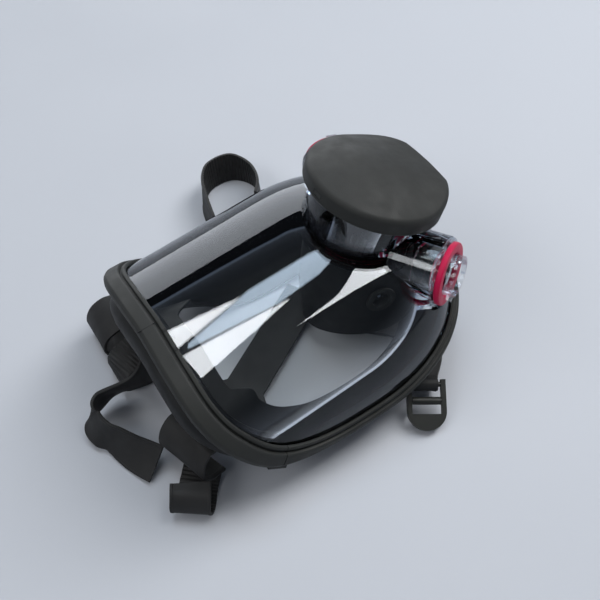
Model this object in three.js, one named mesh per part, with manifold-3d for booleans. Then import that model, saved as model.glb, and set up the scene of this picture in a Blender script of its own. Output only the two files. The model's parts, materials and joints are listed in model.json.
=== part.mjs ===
// Full-face respirator mask lying on its harness, visor up.
// Units are millimetres. +Z is up, +Y points to the forehead end, +X to the wearer's left.
// The mask is drawn in its own frame (+Z out of the face) and then tipped and lifted onto the bench.
import * as THREE from 'three';
import { mergeVertices } from 'three/addons/utils/BufferGeometryUtils.js';
import Module from 'manifold-3d';

const wasm = await Module();
wasm.setup();

// ---- driving dimensions -------------------------------------------------
const GAP = 0.35;                // clearance between pieces that touch

const VISOR_HALF_WIDTH = 80;     // half width of the visor at its sides
const VISOR_HEIGHT = 65;         // crown of the visor above its centre height
const VISOR_CHIN = 86;           // centre to chin along Y
const VISOR_BROW = 86;           // centre to forehead edge along Y
const VISOR_CENTRE_Z = -25;      // height of the visor's centre
const BROW_SQUARENESS = 2.2;     // arch shape at the forehead: 2 is an ellipse, more is squarer
const CHIN_SQUARENESS = 2.3;     // and towards the chin
const VISOR_WALL = 2.2;          // visor thickness
const VISOR_EDGE = 4.6;          // how far the visor runs into the frame channel

const BAND_WIDTH = 14.5;         // clamping frame, across the band at the forehead
const BAND_SIDE_WIDTH = 10;      // and along the sides and chin
const BAND_FRONT = 4.4;          // frame face above the visor surface
const BAND_BACK = 8.2;           // frame depth behind the visor surface
const BAND_LIP = 2.2;            // reach of the back lip past the visor edge line
const SEAM_GAP = 0.5;            // gap between the two frame halves
const SEAM_TURN = 0.165;         // place of the side seams round the rim, as a share of a turn

const SEAL_REACH = 34;           // how far the face seal stands behind the visor edge at the sides
const SEAL_BROW_REACH = 20;      // how far it stands out past the visor edge at the forehead
const SEAL_DEPTH = 36;           // depth of the face flange
const SEAL_WALL = 3;             // rubber thickness

const FRONT_Y = -46;             // centre of the front neck on the visor
const FRONT_Z = VISOR_CENTRE_Z + VISOR_HEIGHT - 8;
const FRONT_TILT = 27;           // degrees, neck axis leaning to the chin
const NECK_RADIUS = 35;
const NECK_WALL = 2.4;
const NECK_HEIGHT = 13;
const CAP_RADIUS = 41.5;
const CAP_SKIRT = 9;
const CAP_DOME = 8.5;
const CAP_WALL = 2.2;
const CAP_HORN = 5;              // rise of the two corners at the chin side

const PORT_X = 46;               // centre of each filter port on the visor
const PORT_Y = -57;
const PORT_Z = VISOR_CENTRE_Z + VISOR_HEIGHT - 23;
const PORT_AXIS = [0.87, -0.49, 0.05];
const PORT_RADIUS = 21;          // moulded boss
const PORT_BORE = 17;
const PORT_HEIGHT = 8.2;
const GASKET_RADIUS = 18.6;
const GASKET_BORE = 12.8;
const GASKET_THICK = 3.6;
const BAYONET_RADIUS = 12.2;
const BAYONET_BORE = 10.2;
const BAYONET_LENGTH = 5;        // bayonet tube proud of the gasket

const STRAP_WIDTH = 25;
const STRAP_THICK = 2;
const BUCKLE_WIDTH = 24;
const BUCKLE_LENGTH = 28;
const BUCKLE_THICK = 3.2;
const BUCKLE_RAIL = 3;
const PIN_RADIUS = 1.6;
const ROLLER_RADIUS = 2.4;
const TAB_CLEARANCE = 0.45;      // running clearance of the tab eye on the buckle bar

const PITCH = 8.2;               // degrees, chin end raised on the bench
const LIFT = 60;                 // mask origin above the bench

const DEG = Math.PI / 180;
const V = (x, y, z) => new THREE.Vector3(x, y, z);

// ---- finishes -------------------------------------------------------------
function finish(color, roughness, metalness = 0, opacity = 1) {
  return new THREE.MeshStandardMaterial({
    color, roughness, metalness, opacity, transparent: opacity < 1,
  });
}
const clearPlastic = () => finish(0xdfe6ea, 0.08, 0, 0.35);
const greyPlastic = () => finish(0x444642, 0.6);
const blackPlastic = () => finish(0x121314, 0.25);
const strapRubber = () => finish(0x323232, 0.7);
const sealRubber = () => finish(0x1c1e20, 0.6);
const redSilicone = () => finish(0xaf0041, 0.45);
const paleSilicone = () => finish(0x7f93a8, 0.4);
const steel = () => finish(0xb9bcc0, 0.3, 1);

// ---- mesh helpers -----------------------------------------------------------
// A closed geometry from points and triangles, turned so that its faces point out.
function closedGeometry(points, faces) {
  let volume = 0;
  for (const [a, b, c] of faces) {
    volume += points[a].dot(points[b].clone().cross(points[c]));
  }
  const index = faces.flatMap(([a, b, c]) => (volume < 0 ? [a, c, b] : [a, b, c]));
  const geometry = new THREE.BufferGeometry();
  const flat = points.flatMap((p) => [p.x, p.y, p.z]);
  geometry.setAttribute('position', new THREE.Float32BufferAttribute(flat, 3));
  geometry.setIndex(index);
  return geometry;
}

// Joins a row of point rings; the row closes on itself or gets two flat ends.
function loft(rings, closed) {
  const n = rings[0].length;
  const faces = [];
  const last = closed ? rings.length : rings.length - 1;
  for (let i = 0; i < last; i++) {
    const j = (i + 1) % rings.length;
    for (let k = 0; k < n; k++) {
      const m = (k + 1) % n;
      faces.push([i * n + k, j * n + k, j * n + m], [i * n + k, j * n + m, i * n + m]);
    }
  }
  return { points: rings.flat(), faces };
}

function solid(geometry) {
  const g = geometry.clone();
  g.deleteAttribute('normal');
  g.deleteAttribute('uv');
  const merged = mergeVertices(g, 1e-4);
  return new wasm.Manifold(new wasm.Mesh({
    numProp: 3,
    vertProperties: new Float32Array(merged.attributes.position.array),
    triVerts: new Uint32Array(merged.index.array),
  }));
}

function geometryOf(manifold) {
  const mesh = manifold.getMesh();
  const geometry = new THREE.BufferGeometry();
  geometry.setAttribute('position', new THREE.Float32BufferAttribute(mesh.vertProperties, 3));
  geometry.setIndex(Array.from(mesh.triVerts));
  return geometry;
}

// Turned solid: profile of [radius, height] pairs, axis +Z.
function turned(profile, segments = 20) {
  const ring = profile.map(([r, z]) => new THREE.Vector2(r, z));
  if (profile[0][0] > 0) ring.push(ring[0].clone());
  const geometry = new THREE.LatheGeometry(ring, segments);
  geometry.rotateX(Math.PI / 2);
  return upright(geometry);
}

// Faces out, shared points merged.
function upright(geometry) {
  const g = geometry.clone();
  g.deleteAttribute('normal');
  g.deleteAttribute('uv');
  const merged = mergeVertices(g, 1e-4);
  const position = merged.attributes.position;
  const points = [];
  for (let i = 0; i < position.count; i++) points.push(V(0, 0, 0).fromBufferAttribute(position, i));
  const faces = [];
  const index = merged.index.array;
  for (let i = 0; i < index.length; i += 3) {
    const tri = [index[i], index[i + 1], index[i + 2]];
    if (tri[0] !== tri[1] && tri[1] !== tri[2] && tri[0] !== tri[2]) faces.push(tri);
  }
  return closedGeometry(points, faces);
}

// Square-edged ring, axis +Z.
const tube = (outer, inner, low, high, segments = 20) => turned(
  [[inner, low], [outer, low], [outer, high], [inner, high]], segments);
const disc = (radius, low, high, segments = 20) => turned(
  [[0, low], [radius, low], [radius, high], [0, high]], segments);

const group = new THREE.Group();
const tipped = new THREE.Group();
const mask = new THREE.Group();
mask.rotation.x = -PITCH * DEG;
mask.position.z = LIFT;
tipped.add(mask);
group.add(tipped);

function add(parent, name, geometry, material) {
  const mesh = new THREE.Mesh(geometry, material);
  mesh.name = name;
  parent.add(mesh);
  return mesh;
}

// A group whose +Z is the given axis, at the given place.
function seat(parent, place, axis) {
  const node = new THREE.Group();
  node.position.copy(place);
  node.quaternion.setFromUnitVectors(V(0, 0, 1), axis.clone().normalize());
  parent.add(node);
  node.updateMatrix();
  return node;
}

// ---- visor surface --------------------------------------------------------
const centre = V(0, 0, VISOR_CENTRE_Z);

// Straight-backed arch over the forehead half, rounded off over the chin half. A point is
// found on the ray that leaves the centre at a plan angle from +X and a tilt from the crown.
function visorPoint(angle, tilt, sink = 0) {
  const dir = V(Math.cos(angle) * Math.sin(tilt), Math.sin(angle) * Math.sin(tilt), Math.cos(tilt));
  const power = THREE.MathUtils.lerp(
    BROW_SQUARENESS, CHIN_SQUARENESS, THREE.MathUtils.smoothstep(-dir.y, 0, 0.7));
  const chin = dir.y < 0 ? Math.abs(dir.y / VISOR_CHIN) ** power : 0;
  const sum = Math.abs(dir.x / VISOR_HALF_WIDTH) ** power + Math.abs(dir.z / VISOR_HEIGHT) ** power + chin;
  const p = dir.multiplyScalar(sum ** (-1 / power)).add(centre);
  return sink === 0 ? p : p.addScaledVector(visorNormal(angle, tilt), -sink);
}

function visorNormal(angle, tilt) {
  const step = 1e-3;
  if (tilt < step) return V(0, 0, 1);
  const turned = visorPoint(angle + step, tilt).sub(visorPoint(angle - step, tilt));
  const tilted = visorPoint(angle, tilt + step).sub(visorPoint(angle, tilt - step));
  return tilted.cross(turned).normalize();
}

// Visor edge from forehead to chin for one half: plan angle and tilt, in degrees.
const browTilt = Math.atan2(VISOR_BROW, VISOR_HEIGHT) / DEG;
const RIM_HALF = [
  [90, browTilt], [69, browTilt + 4], [51, browTilt + 16], [39, 80], [25, 87], [4, 90], [-24, 88],
  [-48, 84], [-70, 81], [-90, 80],
];
const rimLoop = [
  ...RIM_HALF,
  ...RIM_HALF.slice(1, -1).reverse().map(([angle, tilt]) => [180 - angle, tilt]),
].map(([angle, tilt]) => visorPoint(angle * DEG, tilt * DEG));
const rimCurve = new THREE.CatmullRomCurve3(rimLoop, true, 'centripetal');

function rimAngles(share) {
  const d = rimCurve.getPoint(((share % 1) + 1) % 1).sub(centre);
  return { angle: Math.atan2(d.y, d.x), tilt: Math.atan2(Math.hypot(d.x, d.y), d.z) };
}

// Place and directions at a share of a turn round the rim; out points away from the visor
// along its surface, up is the visor's outer normal. brow is 1 at the forehead, 0 at the sides.
function rimFrame(share) {
  const { angle, tilt } = rimAngles(share);
  const place = visorPoint(angle, tilt);
  const up = visorNormal(angle, tilt);
  const before = rimAngles(share - 0.002);
  const after = rimAngles(share + 0.002);
  const along = visorPoint(after.angle, after.tilt).sub(visorPoint(before.angle, before.tilt)).normalize();
  const out = up.clone().cross(along).normalize();
  return { place, up, out, angle, tilt, brow: THREE.MathUtils.smoothstep(out.y, 0, 0.9) };
}

function rimPoint(frame, out, up) {
  return frame.place.clone().addScaledVector(frame.out, out).addScaledVector(frame.up, up);
}

const RIM_STEPS = 48;
const rimFrames = Array.from({ length: RIM_STEPS }, (_, i) => rimFrame(i / RIM_STEPS));

// ---- visor, with its moulded front neck and two port bosses ---------------
const VISOR_RINGS = 7;

// One skin of the visor as rings from the crown to the rim, then past it into the frame channel.
function visorSkin(sink, reach) {
  const rings = [];
  for (let r = 1; r <= VISOR_RINGS; r++) {
    rings.push(rimFrames.map((f) => visorPoint(f.angle, (f.tilt * r) / VISOR_RINGS, sink)));
  }
  if (reach > 0) rings.push(rimFrames.map((f) => rimPoint(f, reach, -sink)));
  return { apex: visorPoint(0, 0, sink), rings };
}

function closedShell(outer, inner) {
  const n = RIM_STEPS;
  const rings = [...outer.rings, ...inner.rings.slice().reverse()];
  const { points, faces } = loft(rings, false);
  const top = points.push(outer.apex) - 1;
  const bottom = points.push(inner.apex) - 1;
  const lastRing = (rings.length - 1) * n;
  for (let k = 0; k < n; k++) {
    const m = (k + 1) % n;
    faces.push([top, k, m], [bottom, lastRing + m, lastRing + k]);
  }
  return closedGeometry(points, faces);
}

const frontAxis = V(0, -Math.sin(FRONT_TILT * DEG), Math.cos(FRONT_TILT * DEG));
const frontPlace = V(0, FRONT_Y, FRONT_Z);
const frontSeat = seat(mask, frontPlace, frontAxis);
const portSeats = [1, -1].map((side) => seat(
  mask, V(side * PORT_X, PORT_Y, PORT_Z), V(side * PORT_AXIS[0], PORT_AXIS[1], PORT_AXIS[2])));

const placed = (geometry, node) => solid(geometry.clone().applyMatrix4(node.matrix));

function visorGeometry() {
  const outer = visorSkin(0, VISOR_EDGE);
  let body = solid(closedShell(outer, visorSkin(VISOR_WALL, VISOR_EDGE)));
  const middle = visorSkin(VISOR_WALL / 2, 0);
  const floor = visorSkin(VISOR_WALL / 2, 0);
  floor.rings = floor.rings.map((ring) => ring.map((p) => V(p.x * 0.98, p.y * 0.98, p.z - 90)));
  floor.apex = V(0, 0, floor.apex.z - 90);
  const core = solid(closedShell(middle, floor));
  const bosses = [
    [frontSeat, NECK_RADIUS, NECK_HEIGHT],
    ...portSeats.map((s) => [s, PORT_RADIUS, PORT_HEIGHT]),
  ];
  const bore = 18;
  for (const [node, radius, height] of bosses) {
    body = body.add(placed(disc(radius, -bore, height, 28), node).subtract(core));
  }
  body = body.subtract(placed(disc(NECK_RADIUS - NECK_WALL, -2 * bore, NECK_HEIGHT + bore, 28), frontSeat));
  for (const s of portSeats) {
    body = body.subtract(placed(disc(PORT_BORE, -bore, PORT_HEIGHT + bore), s));
    body = body.subtract(placed(disc(PORT_RADIUS + 1, PORT_HEIGHT, PORT_HEIGHT + bore), s));
  }
  return geometryOf(body);
}
add(mask, 'visor', visorGeometry(), clearPlastic());

// ---- clamping frame, two halves that meet at the sides ---------------------
const channelDepth = VISOR_EDGE + GAP;
const sealBeadBack = -VISOR_WALL - GAP - SEAL_WALL;

// Channel section as [out, up]: front lip, groove, outer face, back lip.
function bandSection(width) {
  return [
    [0, GAP], [0, 2], [0.6, 2.6], [2.4, 2.6], [2.6, 1.3], [3.6, 1.3], [3.8, 3.8], [5, BAND_FRONT],
    [width - 3, BAND_FRONT], [width - 1, 3], [width, 0.5], [width - 0.3, -4],
    [width - 2.5, -BAND_BACK], [BAND_LIP, -BAND_BACK], [BAND_LIP, sealBeadBack - GAP],
    [channelDepth, sealBeadBack - GAP], [channelDepth, GAP],
  ];
}
const bandWidth = (f) => THREE.MathUtils.lerp(BAND_SIDE_WIDTH, BAND_WIDTH, f.brow);

// Swept along the rim at the same stations as the visor, so that both bend together.
function bandGeometry(from, to) {
  const first = Math.floor(from * RIM_STEPS) + 1;
  const shares = [from];
  for (let i = first; i < to * RIM_STEPS; i++) shares.push(i / RIM_STEPS);
  shares.push(to);
  const frames = shares.map(rimFrame);
  const rings = frames.map((f) => bandSection(bandWidth(f)).map(([out, up]) => rimPoint(f, out, up)));
  const { points, faces } = loft(rings, false);
  const outline = bandSection(BAND_WIDTH).map(([out, up]) => new THREE.Vector2(out, up));
  const last = (rings.length - 1) * outline.length;
  for (const [a, b, c] of THREE.ShapeUtils.triangulateShape(outline, [])) {
    faces.push([c, b, a], [last + a, last + b, last + c]);
  }
  return closedGeometry(points, faces);
}
const halfSeam = SEAM_GAP / 2 / rimCurve.getLength();
add(mask, 'upper_frame', bandGeometry(-SEAM_TURN + halfSeam, SEAM_TURN - halfSeam), greyPlastic());
add(mask, 'lower_frame', bandGeometry(SEAM_TURN + halfSeam, 1 - SEAM_TURN - halfSeam), greyPlastic());

// Ribbed clip over each side seam, and the small clear tab beside the right-hand one.
const CLIP_LENGTH = 12;          // along the frame
const CLIP_HEIGHT = 7;
const CLIP_THICK = 2.6;
const CLIP_RIB = 0.6;
const CLIP_RIBS = 5;

// A group lying on the frame's outer face: +X out of the face, +Z up the visor's normal.
function frameSeat(share) {
  const f = rimFrame(share);
  const node = new THREE.Group();
  const place = rimPoint(f, BAND_SIDE_WIDTH + f.brow * (BAND_WIDTH - BAND_SIDE_WIDTH) + GAP, -2);
  node.matrix.makeBasis(f.out, f.up.clone().cross(f.out), f.up).setPosition(place);
  node.matrix.decompose(node.position, node.quaternion, node.scale);
  mask.add(node);
  return node;
}

function ribbedClip() {
  const plate = new THREE.BoxGeometry(CLIP_THICK, CLIP_LENGTH, CLIP_HEIGHT);
  let body = solid(plate.translate(CLIP_THICK / 2, 0, -1));
  for (let i = 0; i < CLIP_RIBS; i++) {
    const rib = new THREE.BoxGeometry(2 * CLIP_RIB, CLIP_LENGTH / CLIP_RIBS / 2, CLIP_HEIGHT - 2);
    rib.translate(CLIP_THICK, (i - (CLIP_RIBS - 1) / 2) * (CLIP_LENGTH / CLIP_RIBS), -1);
    body = body.add(solid(rib));
  }
  return geometryOf(body);
}
add(frameSeat(SEAM_TURN), 'side_clip_left', ribbedClip(), greyPlastic());
add(frameSeat(-SEAM_TURN), 'side_clip_right', ribbedClip(), greyPlastic());

const TAB_SHARE = -0.2;
const seamTab = new THREE.BoxGeometry(1.6, 13, 8);
seamTab.translate(0.8, 0, -2);
add(frameSeat(TAB_SHARE), 'seam_tab_right', upright(seamTab), clearPlastic());

// ---- face seal -------------------------------------------------------------
// Moulded rubber: a bead in the frame channel, a wall behind the frame and a folded-in flange.
const wallTop = -BAND_BACK - GAP;
const beadFront = -VISOR_WALL - GAP;
const beadNeck = BAND_LIP - GAP;
const BEAD = [
  [-2, beadFront - 1], [0.5, beadFront], [VISOR_EDGE, beadFront], [VISOR_EDGE, sealBeadBack],
  [beadNeck, sealBeadBack],
];
const SEAL_SIDE = [
  ...BEAD, [beadNeck, wallTop - 0.2], [BAND_SIDE_WIDTH, wallTop - 0.5], [16, wallTop],
  [SEAL_REACH - 8, wallTop - 2], [SEAL_REACH - 1, wallTop - 8], [SEAL_REACH, wallTop - 14],
  [SEAL_REACH - 1, -SEAL_DEPTH], [SEAL_REACH - 2.5, -SEAL_DEPTH], [SEAL_REACH - SEAL_WALL, wallTop - 14],
  [SEAL_REACH - 4, wallTop - 10], [SEAL_REACH - 9.5, wallTop - 5], [15, wallTop - SEAL_WALL],
  [0, wallTop - SEAL_WALL], [-2.5, wallTop + 1],
];
const SEAL_BROW = [
  ...BEAD, [beadNeck, wallTop - 0.2], [13, wallTop - 0.5], [17, wallTop - 2],
  [SEAL_BROW_REACH - 1, wallTop - 6], [SEAL_BROW_REACH, wallTop - 14], [SEAL_BROW_REACH - 5, wallTop - 22],
  [-14, -SEAL_DEPTH - 3], [-14, -SEAL_DEPTH - 1.5], [SEAL_BROW_REACH - 8, wallTop - 20.5],
  [SEAL_BROW_REACH - SEAL_WALL, wallTop - 13], [SEAL_BROW_REACH - 4, wallTop - 7],
  [13, wallTop - SEAL_WALL - 0.5], [0, wallTop - SEAL_WALL], [-2.5, wallTop + 1],
];
const SEAL_CORNER = 9;          // section point that stands furthest out
const sealPoint = (f, k) => rimPoint(
  f,
  THREE.MathUtils.lerp(SEAL_SIDE[k][0], SEAL_BROW[k][0], f.brow),
  THREE.MathUtils.lerp(SEAL_SIDE[k][1], SEAL_BROW[k][1], f.brow));

function sealBody() {
  const rings = rimFrames.map((f) => SEAL_SIDE.map((_, k) => sealPoint(f, k)));
  const { points, faces } = loft(rings, true);
  return closedGeometry(points, faces);
}
add(mask, 'face_seal', sealBody(), sealRubber());

// ---- front unit: housing, speech diaphragm, exhalation valve, cap -----------
// Heights are along the neck axis from the visor.
const housingRadius = NECK_RADIUS - NECK_WALL - GAP;
const flangeTop = NECK_HEIGHT + GAP + 2;
const FLOOR_LOW = -9;
const FLOOR_HIGH = -6;
const NUT_TOP = -13.5;
const HOUSING_FOOT = -17.5;
const CUP_SPIGOT = housingRadius - 5.25;  // spigot that the nose cup is stretched over
const SPIGOT_FOOT = -20;
const VALVE_OFFSET = -0.481 * CUP_SPIGOT; // exhalation valve towards the chin
const VALVE_SEAT_RADIUS = 0.444 * CUP_SPIGOT;
const SPEECH_RADIUS = 0.407 * CUP_SPIGOT;
const SPEECH_OFFSET = VALVE_OFFSET + VALVE_SEAT_RADIUS + SPEECH_RADIUS + 4;  // to the forehead

const shifted = (geometry, x, y, z) => geometry.clone().translate(x, y, z);

function housing() {
  const shell = solid(turned([
    [CUP_SPIGOT - 2.5, SPIGOT_FOOT], [CUP_SPIGOT, SPIGOT_FOOT], [CUP_SPIGOT, FLOOR_LOW],
    [housingRadius - 2.2, FLOOR_LOW], [housingRadius - 2.2, HOUSING_FOOT], [housingRadius, HOUSING_FOOT],
    [housingRadius, NECK_HEIGHT + GAP], [NECK_RADIUS, NECK_HEIGHT + GAP], [NECK_RADIUS, flangeTop],
    [housingRadius - 2.8, flangeTop], [housingRadius - 2.8, FLOOR_HIGH], [CUP_SPIGOT - 2.5, FLOOR_HIGH],
  ], 28));
  const floor = solid(disc(CUP_SPIGOT - 1, FLOOR_LOW, FLOOR_HIGH, 28));
  const speech = solid(shifted(disc(SPEECH_RADIUS, -20, 20), 0, SPEECH_OFFSET, 0));
  const valve = solid(shifted(disc(VALVE_SEAT_RADIUS, -20, 20), 0, VALVE_OFFSET, 0));
  return geometryOf(shell.add(floor).subtract(speech).subtract(valve));
}
add(frontSeat, 'front_housing', housing(), blackPlastic());
const nut = tube(housingRadius + 4, housingRadius + GAP, HOUSING_FOOT, NUT_TOP, 32);
add(frontSeat, 'housing_nut', nut, blackPlastic());

const onFloor = FLOOR_HIGH + GAP;
add(frontSeat, 'speech_diaphragm',
  shifted(disc(SPEECH_RADIUS + 1.6, onFloor, onFloor + 0.4), 0, SPEECH_OFFSET, 0), steel());
add(frontSeat, 'diaphragm_ring', shifted(
  tube(SPEECH_RADIUS + 1.8, SPEECH_RADIUS - 1.5, onFloor + 0.4 + GAP, onFloor + 3), 0, SPEECH_OFFSET, 0),
greyPlastic());

const STEM_RADIUS = 1.1;

// Spoked seat with a hub that the valve stem runs in.
function spokedSeat(outer, inner, low, high, flange, flangeLow) {
  let body = solid(turned(
    [[inner, low], [outer, low], [outer, flangeLow], [flange, flangeLow], [flange, high], [inner, high]]));
  const hub = 3;
  for (let i = 0; i < 3; i++) {
    const spoke = new THREE.BoxGeometry(inner + 0.5, 1.8, 2);
    spoke.translate(inner / 2, 0, low + 1);
    spoke.rotateZ((i * 2 * Math.PI) / 3);
    body = body.add(solid(spoke));
  }
  body = body.add(solid(disc(hub, low, low + 2)));
  return geometryOf(body.subtract(solid(disc(STEM_RADIUS + TAB_CLEARANCE, low - 5, high + 5, 16))));
}
const valveSeat = spokedSeat(
  VALVE_SEAT_RADIUS - GAP, VALVE_SEAT_RADIUS - 2.4, FLOOR_LOW, onFloor + 1.4,
  VALVE_SEAT_RADIUS + 1.4, onFloor);
add(frontSeat, 'exhalation_valve_seat', shifted(valveSeat, 0, VALVE_OFFSET, 0), greyPlastic());

// Mushroom valve: thin dished disc on a stem.
function mushroom(radius, face, stemEnd, side) {
  const at = (r, h) => [r, face + side * h];
  return turned([
    [0, stemEnd], [STEM_RADIUS, stemEnd], at(STEM_RADIUS, 0), at(radius - 1, 0), at(radius, 0.2),
    at(radius, 0.7), at(radius * 0.5, 1.2), at(0, 1.4),
  ]);
}
const valveDisc = mushroom(VALVE_SEAT_RADIUS - 0.4, onFloor + 1.4 + GAP, FLOOR_LOW - 0.6, 1);
add(frontSeat, 'exhalation_valve_disc', shifted(valveDisc, 0, VALVE_OFFSET, 0), paleSilicone());

const gasketTop = flangeTop + GAP + 1.4;
const gasket = tube(NECK_RADIUS + 0.6, housingRadius - 2.4, flangeTop + GAP, gasketTop, 28);
add(frontSeat, 'collar_gasket', gasket, redSilicone());

// Hooded cap: a round dome whose skirt is cut away at the chin side, where the breath leaves.
const CAP_FOOT = flangeTop + GAP + 0.6;
const CAP_STEPS = 36;
const MOUTH_CORNER = 27;         // degrees either side of the chin direction
const MOUTH_END = 52;
const chinward = (angle) => Math.abs(((angle / DEG + 90 + 540) % 360) - 180);
const hoodRise = (angle) => CAP_HORN * (1 - THREE.MathUtils.smoothstep(chinward(angle), 30, 85));
const capTop = (share, angle) => (
  CAP_FOOT + CAP_SKIRT + CAP_DOME * (1 - share * share) + hoodRise(angle) * share ** 3);
function skirtFoot(angle) {
  const past = (chinward(angle) - MOUTH_CORNER) / (MOUTH_END - MOUTH_CORNER);
  const open = 1 - THREE.MathUtils.clamp(past, 0, 1);
  return CAP_FOOT + open * (CAP_SKIRT + hoodRise(angle) - 3.6);
}

function capGeometry() {
  const skins = [];
  const lift = 1.2;
  for (const share of [0.25, 0.5, 0.72, 0.88, 0.96]) skins.push([share, (a) => capTop(share, a)]);
  skins.push([0.99, (a) => capTop(1, a) - 0.6], [1, (a) => capTop(1, a) - 1.8], [1.004, skirtFoot]);
  const thin = CAP_WALL / CAP_RADIUS;
  skins.push([1 - thin, skirtFoot], [1 - thin, (a) => capTop(1, a) - CAP_WALL - lift]);
  for (const share of [0.86, 0.7, 0.5, 0.25]) skins.push([share, (a) => capTop(share, a) - CAP_WALL]);
  const angles = Array.from({ length: CAP_STEPS }, (_, i) => (i * 2 * Math.PI) / CAP_STEPS);
  const rings = skins.map(([share, height]) => angles.map((a) => (
    V(CAP_RADIUS * share * Math.cos(a), CAP_RADIUS * share * Math.sin(a), height(a)))));
  const { points, faces } = loft(rings, false);
  const top = points.push(V(0, 0, capTop(0, 0))) - 1;
  const under = points.push(V(0, 0, capTop(0, 0) - CAP_WALL)) - 1;
  const last = (rings.length - 1) * CAP_STEPS;
  for (let k = 0; k < CAP_STEPS; k++) {
    const m = (k + 1) % CAP_STEPS;
    faces.push([top, k, m], [under, last + m, last + k]);
  }
  return closedGeometry(points, faces);
}
const LATCH_WIDTH = 7;
const LATCH_HEIGHT = 3.4;
function cappedLatchCut() {
  const slot = new THREE.BoxGeometry(LATCH_WIDTH, 2 * CAP_WALL + 4, LATCH_HEIGHT);
  slot.translate(0, CAP_RADIUS, CAP_FOOT + 3.4);
  return geometryOf(solid(capGeometry()).subtract(solid(slot)));
}
add(frontSeat, 'front_cap', cappedLatchCut(), greyPlastic());
const latch = new THREE.BoxGeometry(LATCH_WIDTH - 2 * GAP, CAP_WALL, LATCH_HEIGHT - 2 * GAP);
latch.translate(0, CAP_RADIUS - CAP_WALL / 2 - 0.2, CAP_FOOT + 3.4);
add(frontSeat, 'cap_latch', upright(latch), greyPlastic());

// ---- filter ports ------------------------------------------------------------
const PORT_FLANGE = PORT_HEIGHT + GAP;
const gasketLow = PORT_FLANGE + 1.5 + GAP;
const bayonetTop = gasketLow + GASKET_THICK + BAYONET_LENGTH;
const PORT_SEAT_FACE = 6.5;

function portBody() {
  let body = solid(turned([
    [PORT_BORE - GAP - 2, -5], [PORT_BORE - GAP, -5], [PORT_BORE - GAP, PORT_FLANGE],
    [PORT_RADIUS - 0.4, PORT_FLANGE], [PORT_RADIUS - 0.4, PORT_FLANGE + 1.5],
    [BAYONET_RADIUS, PORT_FLANGE + 1.5], [BAYONET_RADIUS, bayonetTop], [BAYONET_BORE, bayonetTop],
    [BAYONET_BORE, PORT_SEAT_FACE], [PORT_BORE - GAP - 2, PORT_SEAT_FACE],
  ], 24));
  const lugs = 3;
  for (let i = 0; i < lugs; i++) {
    const lug = new THREE.BoxGeometry(3, 6.5, 2.2);
    lug.translate(BAYONET_RADIUS + 0.9, 0, bayonetTop - 1.8);
    lug.rotateZ((i * 2 * Math.PI) / lugs + 0.5);
    body = body.add(solid(lug));
    const spoke = new THREE.BoxGeometry(BAYONET_BORE + 0.5, 1.6, 1.8);
    spoke.translate(BAYONET_BORE / 2, 0, PORT_SEAT_FACE + 1);
    spoke.rotateZ((i * 2 * Math.PI) / lugs);
    body = body.add(solid(spoke));
  }
  body = body.add(solid(disc(2.6, PORT_SEAT_FACE + 0.1, PORT_SEAT_FACE + 2.4, 16)));
  return geometryOf(body.subtract(solid(disc(STEM_RADIUS + TAB_CLEARANCE, 0, bayonetTop, 16))));
}

['left', 'right'].forEach((side, i) => {
  const node = portSeats[i];
  add(node, `port_body_${side}`, portBody(), clearPlastic());
  add(node, `port_gasket_${side}`,
    tube(GASKET_RADIUS, GASKET_BORE, gasketLow, gasketLow + GASKET_THICK, 24), redSilicone());
  add(node, `inhalation_valve_disc_${side}`,
    mushroom(BAYONET_BORE + 2, PORT_SEAT_FACE - GAP, PORT_SEAT_FACE + 3, -1), redSilicone());
});

// ---- nose cup ------------------------------------------------------------------
// Soft inner half mask: a collar on the housing spigot that flares to a pear-shaped face edge.
const CUP_WALL = 2;
const CUP_EDGE_Z = -41;
const CUP_HALF_WIDTH = 36;
const CUP_NOSE_Y = 4;
const CUP_CHIN_Y = -72;
const CUP_STEPS = 28;
const COLLAR_DEPTH = 8.5;
const collarRadius = CUP_SPIGOT + GAP;

function cupPoint(angle, drop, inset) {
  const round = collarRadius + CUP_WALL - inset;
  const collar = V(
    round * Math.cos(angle), round * Math.sin(angle), FLOOR_LOW - GAP - COLLAR_DEPTH);
  collar.applyMatrix4(frontSeat.matrix);
  const middle = (CUP_NOSE_Y + CUP_CHIN_Y) / 2 - 6;
  const reach = Math.sin(angle) > 0 ? CUP_NOSE_Y - middle : middle - CUP_CHIN_Y;
  const nose = Math.sin(angle) > 0 ? 1 - 0.25 * Math.sin(angle) ** 2 : 1;
  const edge = V(
    (CUP_HALF_WIDTH - inset) * Math.cos(angle) * nose, middle + (reach - inset) * Math.sin(angle),
    CUP_EDGE_Z);
  const spread = Math.sin((drop * Math.PI) / 2) ** 0.8;
  return V(
    THREE.MathUtils.lerp(collar.x, edge.x, spread), THREE.MathUtils.lerp(collar.y, edge.y, spread),
    THREE.MathUtils.lerp(collar.z, edge.z, drop));
}

function cupNormal(angle, drop) {
  const around = cupPoint(angle + 0.01, drop, 0).sub(cupPoint(angle - 0.01, drop, 0));
  const down = cupPoint(angle, drop + 0.01, 0).sub(cupPoint(angle, drop - 0.01, 0));
  return down.cross(around).normalize();
}

const CUP_VALVE_ANGLE = 12 * DEG;
const CUP_VALVE_DROP = 0.42;
const CUP_VALVE_RADIUS = 7.5;
const cupValveSeats = [CUP_VALVE_ANGLE, Math.PI - CUP_VALVE_ANGLE].map((angle) => seat(
  mask, cupPoint(angle, CUP_VALVE_DROP, 0), cupNormal(angle, CUP_VALVE_DROP)));

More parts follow.
